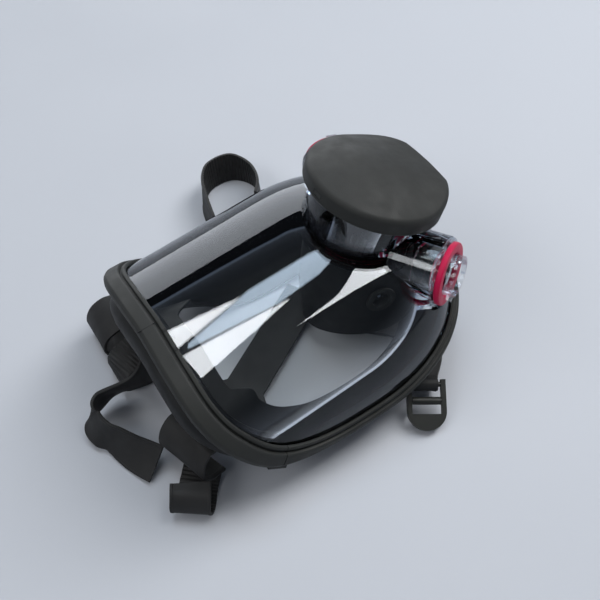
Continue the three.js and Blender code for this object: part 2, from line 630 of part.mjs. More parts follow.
function noseCup() {
  const angles = Array.from({ length: CUP_STEPS }, (_, i) => (i * 2 * Math.PI) / CUP_STEPS);
  const rows = [0, 0.12, 0.28, 0.46, 0.66, 0.84, 1];
  const collarTop = (inset) => angles.map((a) => V(
    (collarRadius + CUP_WALL - inset) * Math.cos(a), (collarRadius + CUP_WALL - inset) * Math.sin(a),
    FLOOR_LOW - GAP).applyMatrix4(frontSeat.matrix));
  const outside = rows.map((drop) => angles.map((a) => cupPoint(a, drop, 0)));
  const inside = rows.map((drop) => angles.map((a) => cupPoint(a, drop, CUP_WALL)));
  const rings = [collarTop(0), ...outside, ...inside.reverse(), collarTop(CUP_WALL)];
  const { points, faces } = loft(rings, true);
  let body = solid(closedGeometry(points, faces));
  for (const node of cupValveSeats) body = body.subtract(placed(disc(CUP_VALVE_RADIUS, -12, 12), node));
  return geometryOf(body);
}
add(mask, 'nose_cup', noseCup(), sealRubber());
['left', 'right'].forEach((side, i) => {
  const node = cupValveSeats[i];
  const seat = spokedSeat(
    CUP_VALVE_RADIUS - GAP, CUP_VALVE_RADIUS - 2.2, -3.4, 2.6, CUP_VALVE_RADIUS + 1.6, 1.2);
  const disc = mushroom(CUP_VALVE_RADIUS - 0.4, -3.4 - GAP, -0.8, -1);
  add(node, `cup_valve_seat_${side}`, seat, greyPlastic());
  add(node, `cup_valve_disc_${side}`, disc, paleSilicone());
});

// ---- harness -------------------------------------------------------------------
// The straps lie on the bench as they fell. Each route is [x, y, z] with the way the strap's
// width points there; the strap is a flat band of rubber along that route.
function ribbon(route, width, thick, steps) {
  const path = new THREE.CatmullRomCurve3(route.map(([x, y, z]) => V(x, y, z)), false, 'centripetal');
  const ways = new THREE.CatmullRomCurve3(route.map(([, , , x, y, z]) => V(x, y, z)), false, 'centripetal');
  const rings = [];
  for (let i = 0; i <= steps; i++) {
    const t = i / steps;
    const place = path.getPoint(t);
    const along = path.getTangent(t);
    const way = ways.getPoint(t);
    const across = way.addScaledVector(along, -way.dot(along)).normalize().multiplyScalar(width / 2);
    const face = along.clone().cross(across).normalize().multiplyScalar(thick / 2);
    rings.push([[1, 1], [-1, 1], [-1, -1], [1, -1]].map(([a, f]) => (
      place.clone().addScaledVector(across, a).addScaledVector(face, f))));
  }
  const { points, faces } = loft(rings, false);
  const last = steps * 4;
  faces.push([0, 1, 2], [0, 2, 3], [last, last + 2, last + 1], [last, last + 3, last + 2]);
  return closedGeometry(points, faces);
}

const LUG_WIDTH = 35;            // moulded strap lugs at the temples

// Outermost corner of the seal at a share of a turn round the rim, as it stands on the bench.
function sealAnchor(share) {
  mask.updateMatrix();
  return sealPoint(rimFrame(share), SEAL_CORNER).applyMatrix4(mask.matrix);
}

// Each strap: the rim share it starts from, its width, and its route from there.
const ROUTES = {
  temple_lug_left: [0.1417, LUG_WIDTH * 0.8, [
    [5.9, 6, -1.8, 1, 0.1, 0], [6.9, 16.5, -1.8, 1, 0.1, 0], [7.9, 25.5, -7.8, 1, 0, 0],
    [7.7, 28.5, -17.8, 1, 0, 0], [4.7, 21.5, -26.8, 1, 0, 0], [1.7, 12.5, -27.8, 1, 0, 0]]],
  temple_strap_left: [0.1417, STRAP_WIDTH - 2, [
    [-17.8, 4, -13.8, 1, 0, 0], [-20.8, 18, -10.8, 1, 0, 0], [-23.8, 28, -13.8, 1, 0, 0],
    [-24.8, 30, -20.8, 1, 0, 0], [-23.8, 22, -26.8, 1, 0, 0], [-25.8, -2, -27.8, 1, 0, 0],
    [-31.8, -20, -27.8, 1, 0.2, 0]]],
  forehead_strap: [0.1417, STRAP_WIDTH - 2, [
    [-15.9, -0.2, -3.6, 0.2, 0.5, 1], [-33.1, 6, -1.8, 0, 0.6, 1], [-45.1, 22, -2.8, -0.2, 0.4, 1],
    [-39.1, 44, -10.8, -0.3, 0.4, 1], [-46.1, 56, -14.2, 0, -0.5, 1], [-57.1, 56, -15.2, 0, -0.5, 1],
    [-64.9, 51, -17.2, -0.5, -0.7, 0.8], [-77.6, 44.7, -20.1, -0.5, -0.8, 0.5],
    [-91.1, 36.7, -20.6, -0.5, -0.8, 0.3]]],
  temple_lug_right: [-0.125, LUG_WIDTH, [
    [17.8, 2.7, -0.3, 1, 0.3, 0], [16.8, 9.8, -1.3, 1, 0.3, 0], [14.6, 15.5, -6.3, 1, 0.3, 0],
    [12.6, 17.5, -14.3, 1, 0.3, 0], [13.6, 12.5, -22.3, 1, 0.3, 0], [16.6, 3.5, -26.3, 1, 0.3, 0]]],
  temple_strap_right: [-0.125, STRAP_WIDTH - 2, [
    [13, 6.1, -33.1, 0.6, 0.8, 0], [3, 15.1, -35.1, 0.6, 0.8, 0], [-8, 23.1, -33.1, 0.6, 0.8, 0],
    [-12, 27.1, -25.1, 0.6, 0.8, 0], [-8, 24.1, -17.1, 0.6, 0.8, 0], [-1, 20.1, -16.1, 0.6, 0.8, 0]]],
  cheek_strap_left: [0.3333, STRAP_WIDTH, [
    [49.2, 10.8, 4.8, 0, 0.1, 1], [63.2, 0.8, 3.8, 0, 0.1, 1], [81.2, -2.2, 2.8, 0, 0.1, 1],
    [95.2, 6.8, 2.8, 0.1, 0, 1], [95.2, 24.8, 2.8, 0.1, 0, 1], [83.2, 36.8, 2.8, 0.1, -0.1, 1],
    [67.2, 42.8, 2.8, 0, -0.1, 1], [47.2, 46.8, 2.8, 0, 0, 1]]],
  cheek_strap_right: [-0.3333, STRAP_WIDTH - 6, [
    [-14.7, 2.8, -4.1, 0.5, 0.8, 0], [-6.7, -5.2, -5.1, 0.5, 0.8, 0], [7.3, -19.2, -7.1, 0.5, 0.8, 0],
    [29.3, -17.2, -8.1, 0.3, 1, 0], [47.3, -1.2, -8.1, -0.6, 0.8, 0]]],
};
for (const [name, [share, width, route]] of Object.entries(ROUTES)) {
  const start = sealAnchor(share);
  const path = route.map(([x, y, z, ...way]) => [start.x + x, start.y + y, start.z + z, ...way]);
  add(tipped, name, ribbon(path, width, STRAP_THICK, 3 * (path.length - 1)), strapRubber());
}

// Crown pad: the strap junction that sits on the back of the head, flat on the bench here.
const PAD_LENGTH = 92;
const PAD_FLARE = 8;             // widening at the forehead end
const PAD_TURN = 31;
const PAD_X = 6;
const PAD_Y = 20;
const PAD_Z = 4;
function crownPad() {
  const shape = new THREE.Shape();
  const half = STRAP_WIDTH / 2;
  shape.moveTo(-half, -PAD_LENGTH / 2);
  shape.lineTo(half, -PAD_LENGTH / 2);
  shape.lineTo(half, PAD_LENGTH / 2 - PAD_FLARE);
  shape.lineTo(half + PAD_FLARE, PAD_LENGTH / 2);
  shape.lineTo(-half - PAD_FLARE, PAD_LENGTH / 2);
  shape.lineTo(-half, PAD_LENGTH / 2 - PAD_FLARE);
  shape.closePath();
  const pad = new THREE.ExtrudeGeometry(shape, { depth: 2.4, bevelEnabled: false, curveSegments: 10 });
  pad.rotateZ(PAD_TURN * DEG);
  pad.translate(PAD_X, PAD_Y, PAD_Z);
  return upright(pad);
}
add(tipped, 'crown_pad', crownPad(), strapRubber());

const JOURNAL_RADIUS = 1;
const ROLLER_PLACE = 10;

// Buckle: rounded frame, a bar that the strap's anchor eye turns on, and a roller for the strap.
// It is drawn from the bar (origin) along +X, with its width along Y.
function buckleFrame() {
  const half = BUCKLE_WIDTH / 2;
  const inner = half - BUCKLE_RAIL;
  const mouth = BUCKLE_LENGTH - 10;
  const shape = new THREE.Shape();
  shape.moveTo(-3, -half);
  shape.lineTo(BUCKLE_LENGTH - half, -half);
  shape.absarc(BUCKLE_LENGTH - half, 0, half, -Math.PI / 2, Math.PI / 2, false);
  shape.lineTo(-3, half);
  shape.lineTo(-3, inner);
  shape.lineTo(mouth, inner);
  shape.lineTo(mouth, -inner);
  shape.lineTo(-3, -inner);
  shape.closePath();
  const plate = new THREE.ExtrudeGeometry(
    shape, { depth: BUCKLE_THICK, bevelEnabled: false, curveSegments: 12 });
  plate.translate(0, 0, -BUCKLE_THICK / 2);
  const across = (radius, length, x) => {
    const g = disc(radius, -length / 2, length / 2, 16);
    g.rotateX(Math.PI / 2);
    return solid(g.translate(x, 0, 0));
  };
  const body = solid(plate)
    .add(across(PIN_RADIUS, 2 * inner + 2, 0))
    .subtract(across(JOURNAL_RADIUS + TAB_CLEARANCE, 2 * inner + 3.6, ROLLER_PLACE));
  return geometryOf(body);
}

function buckleRoller() {
  const half = BUCKLE_WIDTH / 2 - BUCKLE_RAIL;
  const barrel = half - GAP;
  const g = turned([
    [0, -half - 1.2], [JOURNAL_RADIUS, -half - 1.2], [JOURNAL_RADIUS, -barrel], [ROLLER_RADIUS, -barrel],
    [ROLLER_RADIUS, barrel], [JOURNAL_RADIUS, barrel], [JOURNAL_RADIUS, half + 1.2], [0, half + 1.2]], 20);
  g.rotateX(Math.PI / 2);
  return g.translate(ROLLER_PLACE, 0, 0);
}
// Rubber anchor that loops round the buckle's bar and is moulded to the seal behind it.
function buckleAnchor(length) {
  const width = BUCKLE_WIDTH - 2 * BUCKLE_RAIL - 4;
  const eye = PIN_RADIUS + TAB_CLEARANCE;
  const ring = disc(eye + 2, -width / 2, width / 2, 20);
  ring.rotateX(Math.PI / 2);
  const plate = new THREE.BoxGeometry(length, width, 3);
  plate.translate(-length / 2 - eye, 0, 0);
  const bore = disc(eye, -width, width, 20);
  bore.rotateX(Math.PI / 2);
  return geometryOf(solid(ring).add(solid(plate)).subtract(solid(bore)));
}

// Rim share each buckle hangs from, its bar from there, the way it points and the way its width points.
const BUCKLES = {
  cheek_right: [-0.3333, [62 - VISOR_HALF_WIDTH, 3, 5.4], [-0.78, 0.5, -0.42], [0.52, 0.85, 0.05], 3.5],
  cheek_left: [0.3333, [20, 8, 10], [0.85, 0.1, -0.3], [0, 1, 0.3], 6],
};
for (const [name, [share, offset, way, width, anchor]] of Object.entries(BUCKLES)) {
  const place = sealAnchor(share).add(V(...offset));
  const x = V(...way).normalize();
  const y = V(...width);
  y.addScaledVector(x, -y.dot(x)).normalize();
  const node = new THREE.Group();
  node.matrix.makeBasis(x, y, x.clone().cross(y)).setPosition(place);
  node.matrix.decompose(node.position, node.quaternion, node.scale);
  tipped.add(node);
  add(node, `buckle_${name}`, buckleFrame(), greyPlastic());
  add(node, `buckle_roller_${name}`, buckleRoller(), greyPlastic());
  add(node, `buckle_anchor_${name}`, buckleAnchor(anchor), sealRubber());
}

// The origin goes to the middle of the footprint, on the bench.
const extent = new THREE.Box3().setFromObject(group, true);
tipped.position.set(-(extent.min.x + extent.max.x) / 2, -(extent.min.y + extent.max.y) / 2, -extent.min.z);

export default group;
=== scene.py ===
# Full-face respirator mask lying on its harness, visor up.
import json
import math
import bmesh
import bpy
import numpy as np
from mathutils import Matrix, Vector


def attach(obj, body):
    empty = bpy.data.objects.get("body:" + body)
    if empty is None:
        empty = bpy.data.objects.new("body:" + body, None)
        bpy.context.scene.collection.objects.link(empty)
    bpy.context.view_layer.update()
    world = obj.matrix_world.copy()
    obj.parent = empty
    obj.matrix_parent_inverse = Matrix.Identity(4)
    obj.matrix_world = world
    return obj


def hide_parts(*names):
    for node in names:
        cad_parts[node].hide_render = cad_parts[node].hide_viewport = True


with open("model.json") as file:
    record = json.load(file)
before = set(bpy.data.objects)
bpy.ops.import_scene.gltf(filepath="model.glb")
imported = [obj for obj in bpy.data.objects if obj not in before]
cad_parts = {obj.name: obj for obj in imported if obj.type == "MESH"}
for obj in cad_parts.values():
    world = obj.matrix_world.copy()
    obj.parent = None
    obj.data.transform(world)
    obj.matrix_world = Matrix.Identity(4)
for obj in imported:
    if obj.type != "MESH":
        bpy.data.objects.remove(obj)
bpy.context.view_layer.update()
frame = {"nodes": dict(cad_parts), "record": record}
MM = 0.001


# ---- How the mask lies --------------------------------------------------------
# The mask is drawn in millimetres with +Z out of the face and +Y to the forehead. It lies
# tipped a little, chin end up. Its place comes from the filter bayonet's mount.
def unit(v):
    return np.asarray(v, float) / np.linalg.norm(v)


def turn_to(axis):
    return np.array(Vector((0, 0, 1)).rotation_difference(Vector(unit(axis))).to_matrix())


TIP = np.array(Matrix.Rotation(math.radians(-8.2), 3, "X"))
PORT_PLACE = np.array([46.0, -57.0, 17.0])
PORT_AXIS = unit([0.87, -0.49, 0.05])
bayonet = next(m for m in frame["record"]["mounts"] if m["name"] == "filter_bayonet_left")
OFFSET = np.array(bayonet["pos_m"]) - TIP @ (PORT_PLACE + 19 * PORT_AXIS) * MM


def on_bench(points):
    return np.asarray(points, float) @ TIP.T * MM + OFFSET


def on_seat(points, place, axis):
    return on_bench(np.asarray(points, float) @ turn_to(axis).T + np.asarray(place, float))


def mix(a, b, t):
    return a + (b - a) * t


def step(x, low, high):
    t = np.clip((np.asarray(x, float) - low) / (high - low), 0, 1)
    return t * t * (3 - 2 * t)


# Smooth curve between points p[1] and p[2] at share w, for spans of length d.
def bend(p, d, w):
    a = ((p[1] - p[0]) / d[0] - (p[2] - p[0]) / (d[0] + d[1]) + (p[2] - p[1]) / d[1]) * d[1]
    b = ((p[2] - p[1]) / d[1] - (p[3] - p[1]) / (d[1] + d[2]) + (p[3] - p[2]) / d[2]) * d[1]
    square_term = -3 * p[1] + 3 * p[2] - 2 * a - b
    cube_term = 2 * p[1] - 2 * p[2] + a + b
    return p[1] + a * w + square_term * w ** 2 + cube_term * w ** 3


# Rounds the corners of an outline.
def rounded(outline, radius, steps=3, closed=True):
    pts = [np.array(p, float) for p in outline]
    out = []
    for i, p in enumerate(pts):
        if not closed and i in (0, len(pts) - 1):
            out.append(p)
            continue
        a, b = pts[i - 1] - p, pts[(i + 1) % len(pts)] - p
        la, lb = np.linalg.norm(a), np.linalg.norm(b)
        r = min(radius, 0.45 * la, 0.45 * lb)
        for k in range(steps + 1):
            t = k / steps
            out.append(p + a / la * r * (1 - t) ** 2 + b / lb * r * t ** 2)
    return out


BLOCK_FACES = [(0, 1, 2, 3), (4, 7, 6, 5), (0, 4, 5, 1), (1, 5, 6, 2), (2, 6, 7, 3), (3, 7, 4, 0)]


# Corners of a block that runs out from an axis at a turn, in the order its faces need.
def block(turn, reach, half_width, bottom, top):
    along = np.array([math.cos(turn), math.sin(turn)])
    side = np.array([-math.sin(turn), math.cos(turn)])
    corners = [(-half_width, bottom), (half_width, bottom), (half_width, top), (-half_width, top)]
    return np.array([np.append(along * r + side * w, z) for r in reach for w, z in corners])


def moved(faces, count):
    return [tuple(count + i for i in face) for face in faces]


# Faces between rows of points, all rows the same length.
def quads(rows, count, close_rows, close_across=True):
    faces = []
    for i in range(rows if close_rows else rows - 1):
        j = (i + 1) % rows
        for k in range(count if close_across else count - 1):
            m = (k + 1) % count
            faces.append((i * count + k, j * count + k, j * count + m, i * count + m))
    return faces


def lathe(profile, segments=96, ripple=None):
    angles = np.arange(segments) * 2 * math.pi / segments
    rows = []
    for r, z in profile:
        rr = np.full(segments, float(r)) if ripple is None else ripple(r, z, angles)
        rows.append(np.stack([rr * np.cos(angles), rr * np.sin(angles), np.full(segments, float(z))], 1))
    return np.concatenate(rows), quads(len(rows), segments, profile[0][0] > 1e-6 and profile[-1][0] > 1e-6)


def build(name, points, faces, material, body=None, nodes=(), sharp=38):
    name = name.replace(" ", "-")
    mesh = bpy.data.meshes.new(name)
    mesh.from_pydata([tuple(p) for p in points], [], faces)
    bm = bmesh.new()
    bm.from_mesh(mesh)
    bmesh.ops.remove_doubles(bm, verts=bm.verts, dist=2e-6)
    bmesh.ops.recalc_face_normals(bm, faces=bm.faces)
    bm.to_mesh(mesh)
    bm.free()
    obj = bpy.data.objects.new(name, mesh)
    bpy.context.scene.collection.objects.link(obj)
    if material:
        mesh.materials.append(material)
    dress(obj, sharp)
    if body:
        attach(obj, body)
        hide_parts(*nodes)
    return obj


def dress(obj, sharp=38):
    obj.data.polygons.foreach_set("use_smooth", [True] * len(obj.data.polygons))
    obj.data.set_sharp_from_angle(angle=math.radians(sharp))


def surface(obj, material):
    obj.data.materials.clear()
    obj.data.materials.append(material)


# Joins or cuts obj by tool, which is used up.
def carve(obj, tool, operation):
    m = obj.modifiers.new("carve", "BOOLEAN")
    m.operation = operation
    m.solver = "EXACT"
    m.object = tool
    depsgraph = bpy.context.evaluated_depsgraph_get()
    mesh = bpy.data.meshes.new_from_object(obj.evaluated_get(depsgraph))
    obj.modifiers.clear()
    obj.data = mesh
    bpy.data.objects.remove(tool)
    return obj


# A moulded or rubbed surface: two tones, a fine grain in the relief, and patches of gloss.
def finish(name, dark, light, rough, grain=900.0, relief=0.25, patch=35.0, metal=0.0, coat=0.0, edge=0.15):
    mat = bpy.data.materials.new(name)
    mat.use_nodes = True
    nt = mat.node_tree
    shader = nt.nodes["Principled BSDF"]
    place = nt.nodes.new("ShaderNodeTexCoord")

    def noise(scale, detail):
        n = nt.nodes.new("ShaderNodeTexNoise")
        n.inputs["Scale"].default_value = scale
        n.inputs["Detail"].default_value = detail
        nt.links.new(place.outputs["Object"], n.inputs["Vector"])
        return n

    broad, fine = noise(patch, 5), noise(grain, 3)
    tone = nt.nodes.new("ShaderNodeMix")
    tone.data_type = "RGBA"
    tone.inputs["A"].default_value = (*dark, 1)
    tone.inputs["B"].default_value = (*light, 1)
    nt.links.new(broad.outputs["Fac"], tone.inputs["Factor"])
    worn = nt.nodes.new("ShaderNodeMix")
    worn.data_type = "RGBA"
    worn.inputs["B"].default_value = (*[min(1, 1.5 * c + 0.03) for c in light], 1)
    shape = nt.nodes.new("ShaderNodeNewGeometry")
    rub = nt.nodes.new("ShaderNodeMapRange")
    rub.inputs["From Min"].default_value = 0.52
    rub.inputs["From Max"].default_value = 0.66
    rub.inputs["To Max"].default_value = edge
    nt.links.new(shape.outputs["Pointiness"], rub.inputs["Value"])
    nt.links.new(rub.outputs["Result"], worn.inputs["Factor"])
    nt.links.new(tone.outputs["Result"], worn.inputs["A"])
    nt.links.new(worn.outputs["Result"], shader.inputs["Base Color"])
    gloss = nt.nodes.new("ShaderNodeMapRange")
    gloss.inputs["From Min"].default_value = 0.3
    gloss.inputs["From Max"].default_value = 0.7
    gloss.inputs["To Min"].default_value = rough[0]
    gloss.inputs["To Max"].default_value = rough[1]
    nt.links.new(noise(patch * 3, 6).outputs["Fac"], gloss.inputs["Value"])
    nt.links.new(gloss.outputs["Result"], shader.inputs["Roughness"])
    bump = nt.nodes.new("ShaderNodeBump")
    bump.inputs["Strength"].default_value = relief
    bump.inputs["Distance"].default_value = 0.0002
    nt.links.new(fine.outputs["Fac"], bump.inputs["Height"])
    nt.links.new(bump.outputs["Normal"], shader.inputs["Normal"])
    shader.inputs["Metallic"].default_value = metal
    shader.inputs["Coat Weight"].default_value = coat
    shader.inputs["Specular IOR Level"].default_value = 0.26
    return mat


# Clear moulded plastic: mostly see-through, mirroring more towards its edges, with faint haze.
def clear(name, middle, rim, rough=0.02, haze=0.02, strength=1.0):
    mat = bpy.data.materials.new(name)
    mat.use_nodes = True
    nt = mat.node_tree
    shader = nt.nodes["Principled BSDF"]
    shader.inputs["Base Color"].default_value = (0.92, 0.95, 1.0, 1)
    shader.inputs["Metallic"].default_value = 1.0
    place = nt.nodes.new("ShaderNodeTexCoord")
    smear = nt.nodes.new("ShaderNodeTexNoise")
    smear.inputs["Scale"].default_value = 40
    smear.inputs["Detail"].default_value = 7
    nt.links.new(place.outputs["Object"], smear.inputs["Vector"])
    gloss = nt.nodes.new("ShaderNodeMapRange")
    gloss.inputs["From Min"].default_value = 0.4
    gloss.inputs["From Max"].default_value = 0.8
    gloss.inputs["To Min"].default_value = rough
    gloss.inputs["To Max"].default_value = rough * 3
    nt.links.new(smear.outputs["Fac"], gloss.inputs["Value"])
    nt.links.new(gloss.outputs["Result"], shader.inputs["Roughness"])
    wave = nt.nodes.new("ShaderNodeBump")
    wave.inputs["Strength"].default_value = 0.012
    wave.inputs["Distance"].default_value = 0.0005
    nt.links.new(smear.outputs["Fac"], wave.inputs["Height"])
    nt.links.new(wave.outputs["Normal"], shader.inputs["Normal"])
    facing = nt.nodes.new("ShaderNodeLayerWeight")
    facing.inputs["Blend"].default_value = 0.35
    tint = nt.nodes.new("ShaderNodeMix")
    tint.data_type = "RGBA"
    tint.inputs["A"].default_value = (*middle, 1)
    tint.inputs["B"].default_value = (*rim, 1)
    nt.links.new(facing.outputs["Facing"], tint.inputs["Factor"])
    through = nt.nodes.new("ShaderNodeBsdfTransparent")
    nt.links.new(tint.outputs["Result"], through.inputs["Color"])
    mirror = nt.nodes.new("ShaderNodeFresnel")
    mirror.inputs["IOR"].default_value = 1.5
    share = nt.nodes.new("ShaderNodeMath")
    share.operation = "MULTIPLY_ADD"
    share.inputs[1].default_value = strength
    share.inputs[2].default_value = haze
    nt.links.new(mirror.outputs["Fac"], share.inputs[0])
    both = nt.nodes.new("ShaderNodeMixShader")
    nt.links.new(share.outputs["Value"], both.inputs["Fac"])
    nt.links.new(through.outputs["BSDF"], both.inputs[1])
    nt.links.new(shader.outputs["BSDF"], both.inputs[2])
    nt.links.new(both.outputs["Shader"], nt.nodes["Material Output"].inputs["Surface"])
    return mat


# ---- Visor ---------------------------------------------------------------------
# One clear polycarbonate moulding, about 2 mm thick: an arched window with the round neck of
# the front unit and a boss for each filter port moulded on. Its edge sits in the frame.
HALF_WIDTH, HEIGHT, CHIN, BROW, CENTRE_Z = 80, 65, 86, 86, -25
WALL, EDGE = 2.2, 4.6
CENTRE = np.array([0.0, 0.0, CENTRE_Z])


def visor_normal(angle, tilt):
    e = 1e-3
    around = visor_point(angle + e, tilt) - visor_point(angle - e, tilt)
    down = visor_point(angle, tilt + e) - visor_point(angle, tilt - e)
    n = np.cross(down, around)
    return n / np.linalg.norm(n, axis=-1, keepdims=True)


def visor_point(angle, tilt, sink=0.0):
    d = np.stack([np.cos(angle) * np.sin(tilt), np.sin(angle) * np.sin(tilt), np.cos(tilt)], -1)
    power = mix(2.2, 2.3, step(-d[..., 1], 0, 0.7))
    chin = np.where(d[..., 1] < 0, np.abs(d[..., 1] / CHIN) ** power, 0)
    total = np.abs(d[..., 0] / HALF_WIDTH) ** power + np.abs(d[..., 2] / HEIGHT) ** power + chin
    p = d * (total ** (-1 / power))[..., None] + CENTRE
    return p if sink == 0 else p - sink * visor_normal(angle, tilt)


brow_tilt = math.degrees(math.atan2(BROW, HEIGHT))
half = [(90, brow_tilt), (69, brow_tilt + 4), (51, brow_tilt + 16), (39, 80), (25, 87), (4, 90), (-24, 88),
        (-48, 84), (-70, 81), (-90, 80)]
loop = np.radians(half + [(180 - a, t) for a, t in half[1:-1][::-1]])
rim_points = visor_point(loop[:, 0], loop[:, 1])


# Smooth closed curve through the rim points, at shares of a turn from the forehead.
def rim_curve(share):
    n = len(rim_points)
    at = (np.asarray(share, float) % 1) * n
    i = np.floor(at).astype(int)
    w = (at - i)[..., None]
    p = [rim_points[(i + k) % n] for k in (-1, 0, 1, 2)]
    d = [np.sum((p[k + 1] - p[k]) ** 2, -1, keepdims=True) ** 0.25 for k in range(3)]
    return bend(p, d, w)


def rim_angles(share):
    d = rim_curve(share) - CENTRE
    return np.arctan2(d[..., 1], d[..., 0]), np.arctan2(np.hypot(d[..., 0], d[..., 1]), d[..., 2])


class Rim:
    """Places and directions round the rim; out runs away from the visor, up is its normal."""

    def __init__(self, share):
        self.share = np.asarray(share, float)
        self.angle, self.tilt = rim_angles(self.share)
        self.place = visor_point(self.angle, self.tilt)
        self.up = visor_normal(self.angle, self.tilt)
        along = visor_point(*rim_angles(self.share + 0.002)) - visor_point(*rim_angles(self.share - 0.002))
        self.along = along / np.linalg.norm(along, axis=-1, keepdims=True)
        out = np.cross(self.up, self.along)
        self.out = out / np.linalg.norm(out, axis=-1, keepdims=True)
        self.brow = step(self.out[..., 1], 0, 0.9)

    def at(self, out, up):
        out, up = np.asarray(out, float), np.asarray(up, float)
        return self.place + self.out * out[..., None] + self.up * up[..., None]


STATIONS = 192
rim = Rim(np.arange(STATIONS) / STATIONS)
FRONT_PLACE = np.array([0.0, -46.0, 32.0])
FRONT_AXIS = np.array([0.0, -math.sin(math.radians(27)), math.cos(math.radians(27))])
PORTS = [(PORT_PLACE * [s, 1, 1], PORT_AXIS * [s, 1, 1]) for s in (1, -1)]
NECK_RADIUS, NECK_WALL, NECK_HEIGHT = 35, 2.4, 13
PORT_RADIUS, PORT_BORE, PORT_HEIGHT = 21, 17, 8.2
window_clear = clear("window clear", (0.985, 0.99, 0.985), (0.84, 0.87, 0.90), rough=0.006, haze=0.0)


def visor_skin(sink, reach, rings=26):
    rows = [visor_point(rim.angle, rim.tilt * (r / rings), sink) for r in range(1, rings + 1)]
    if reach:
        rows.append(rim.at(np.full(STATIONS, reach), np.full(STATIONS, -sink)))
    return rows


def shell(name, outer, inner, crown, floor):
    rows = outer + inner[::-1]
    points = np.concatenate(rows + [[crown], [floor]])
    faces = quads(len(rows), STATIONS, False)
    last, top = (len(rows) - 1) * STATIONS, len(rows) * STATIONS
    for k in range(STATIONS):
        m = (k + 1) % STATIONS
        faces += [(top, k, m), (top + 1, last + m, last + k)]
    return build(name, on_bench(points), faces, window_clear)


def drum(radius, low, high, place, axis, segments=96):
    points, faces = lathe([(0, low), (radius, low), (radius, high), (0, high)], segments)
    return build("drum", on_seat(points, place, axis), faces, window_clear)


crown = visor_point(np.array(0.0), np.array(0.0))
visor = shell("visor window", visor_skin(0, EDGE), visor_skin(WALL, EDGE), crown, crown - [0, 0, WALL])
middle = visor_skin(WALL / 2, 0)
core = shell("core", middle, [r * [0.98, 0.98, 1] - [0, 0, 90] for r in middle], crown - [0, 0, WALL / 2],
             crown - [0, 0, 90])
for place, axis, radius, height in [(FRONT_PLACE, FRONT_AXIS, NECK_RADIUS, NECK_HEIGHT)] + [
        (p, a, PORT_RADIUS, PORT_HEIGHT) for p, a in PORTS]:
    boss = drum(radius, -18, height, place, axis)
    spare = core.copy()
    bpy.context.scene.collection.objects.link(spare)
    carve(boss, spare, "DIFFERENCE")
    carve(visor, boss, "UNION")
bpy.data.objects.remove(core)
carve(visor, drum(NECK_RADIUS - NECK_WALL, -36, 31, FRONT_PLACE, FRONT_AXIS), "DIFFERENCE")
for place, axis in PORTS:
    face = PORT_HEIGHT - 0.02
    points, faces = lathe([(0, -18), (PORT_BORE, -18), (PORT_BORE, face), (PORT_RADIUS + 1.3, face),
                           (PORT_RADIUS + 1.3, 26), (0, 26)], 100)
    carve(visor, build("port cutter", on_seat(points, place, axis), faces, window_clear), "DIFFERENCE")
surface(visor, window_clear)
dress(visor, 30)
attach(visor, "mask")
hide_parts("visor")

# ---- Clamp frame ------------------------------------------------------------------
# Two matt olive-grey mouldings that meet at the sides and grip the visor's edge and the seal's
# bead. A thin lip lies on the window, with a groove between it and the broad band.
GAP = 0.35
SEAM = 0.165
BAND_BACK = 8.2
frame_grey = finish("frame grey", (0.013, 0.014, 0.0135), (0.026, 0.027, 0.025), (0.50, 0.68),
                    grain=1400, relief=0.35, edge=0.08)


def band_section(width):
    groove = -WALL - 2 * GAP - 3
    return [(0, GAP), (0, 2), (0.6, 2.6), (2.4, 2.6), (2.6, 1.3), (3.6, 1.3), (3.8, 3.8), (5, 4.4),
            (width - 3, 4.4), (width - 1, 3), (width, 0.5), (width - 0.3, -4), (width - 2.5, -BAND_BACK),
            (2.2, -BAND_BACK), (2.2, groove), (EDGE + GAP, groove), (EDGE + GAP, GAP)]


def band(name, low, high, node):
    stations = Rim(np.linspace(low, high, int(STATIONS * (high - low)) + 2))
    count = len(stations.share)
    sections = [np.array(rounded(band_section(mix(10, 14.5, b)), 0.55, 3)) for b in stations.brow]
    rows = [stations.place[i] + np.outer(s[:, 0], stations.out[i]) + np.outer(s[:, 1], stations.up[i])
            for i, s in enumerate(sections)]
    n = len(rows[0])
    faces = quads(count, n, False) + [tuple(range(n)), tuple(range((count - 1) * n, count * n))]
    obj = build(name, on_bench(np.concatenate(rows)), faces, frame_grey, "mask", [node])
    return obj


seam_half = 0.0004
band("upper frame half", -SEAM + seam_half, SEAM - seam_half, "upper_frame")
band("lower frame half", SEAM + seam_half, 1 - SEAM - seam_half, "lower_frame")


# ---- Side clips ---------------------------------------------------------------------
# A small ribbed clip of the frame's grey plastic snapped over each side seam, and a clear tab.
def frame_box(name, share, size, middle, material, node, ribs=0):
    name = name.replace(" ", "-")
    at = Rim(np.array([share]))
    base = at.at([mix(10, 14.5, at.brow[0]) + GAP], [-2.0])[0]
    axes = np.stack([at.out[0], np.cross(at.up[0], at.out[0]), at.up[0]])
    bm = bmesh.new()
    parts = [(size, middle)]
    for i in range(ribs):
        pitch = size[1] / ribs
        parts.append(((1.2, pitch * 0.5, size[2] - 2), (size[0], (i - (ribs - 1) / 2) * pitch, middle[2])))
    for extent, centre in parts:
        for v in bmesh.ops.create_cube(bm, size=1)["verts"]:
            v.co = Vector(on_bench(base + (np.array(v.co) * extent + centre) @ axes))
    mesh = bpy.data.meshes.new(name)
    bm.to_mesh(mesh)
    bm.free()
    obj = bpy.data.objects.new(name, mesh)
    bpy.context.scene.collection.objects.link(obj)
    mesh.materials.append(material)
    soft = obj.modifiers.new("soft edges", "BEVEL")
    soft.width = 0.00035
    soft.segments = 3
    dress(obj)
    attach(obj, "mask")
    if node:
        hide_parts(node)


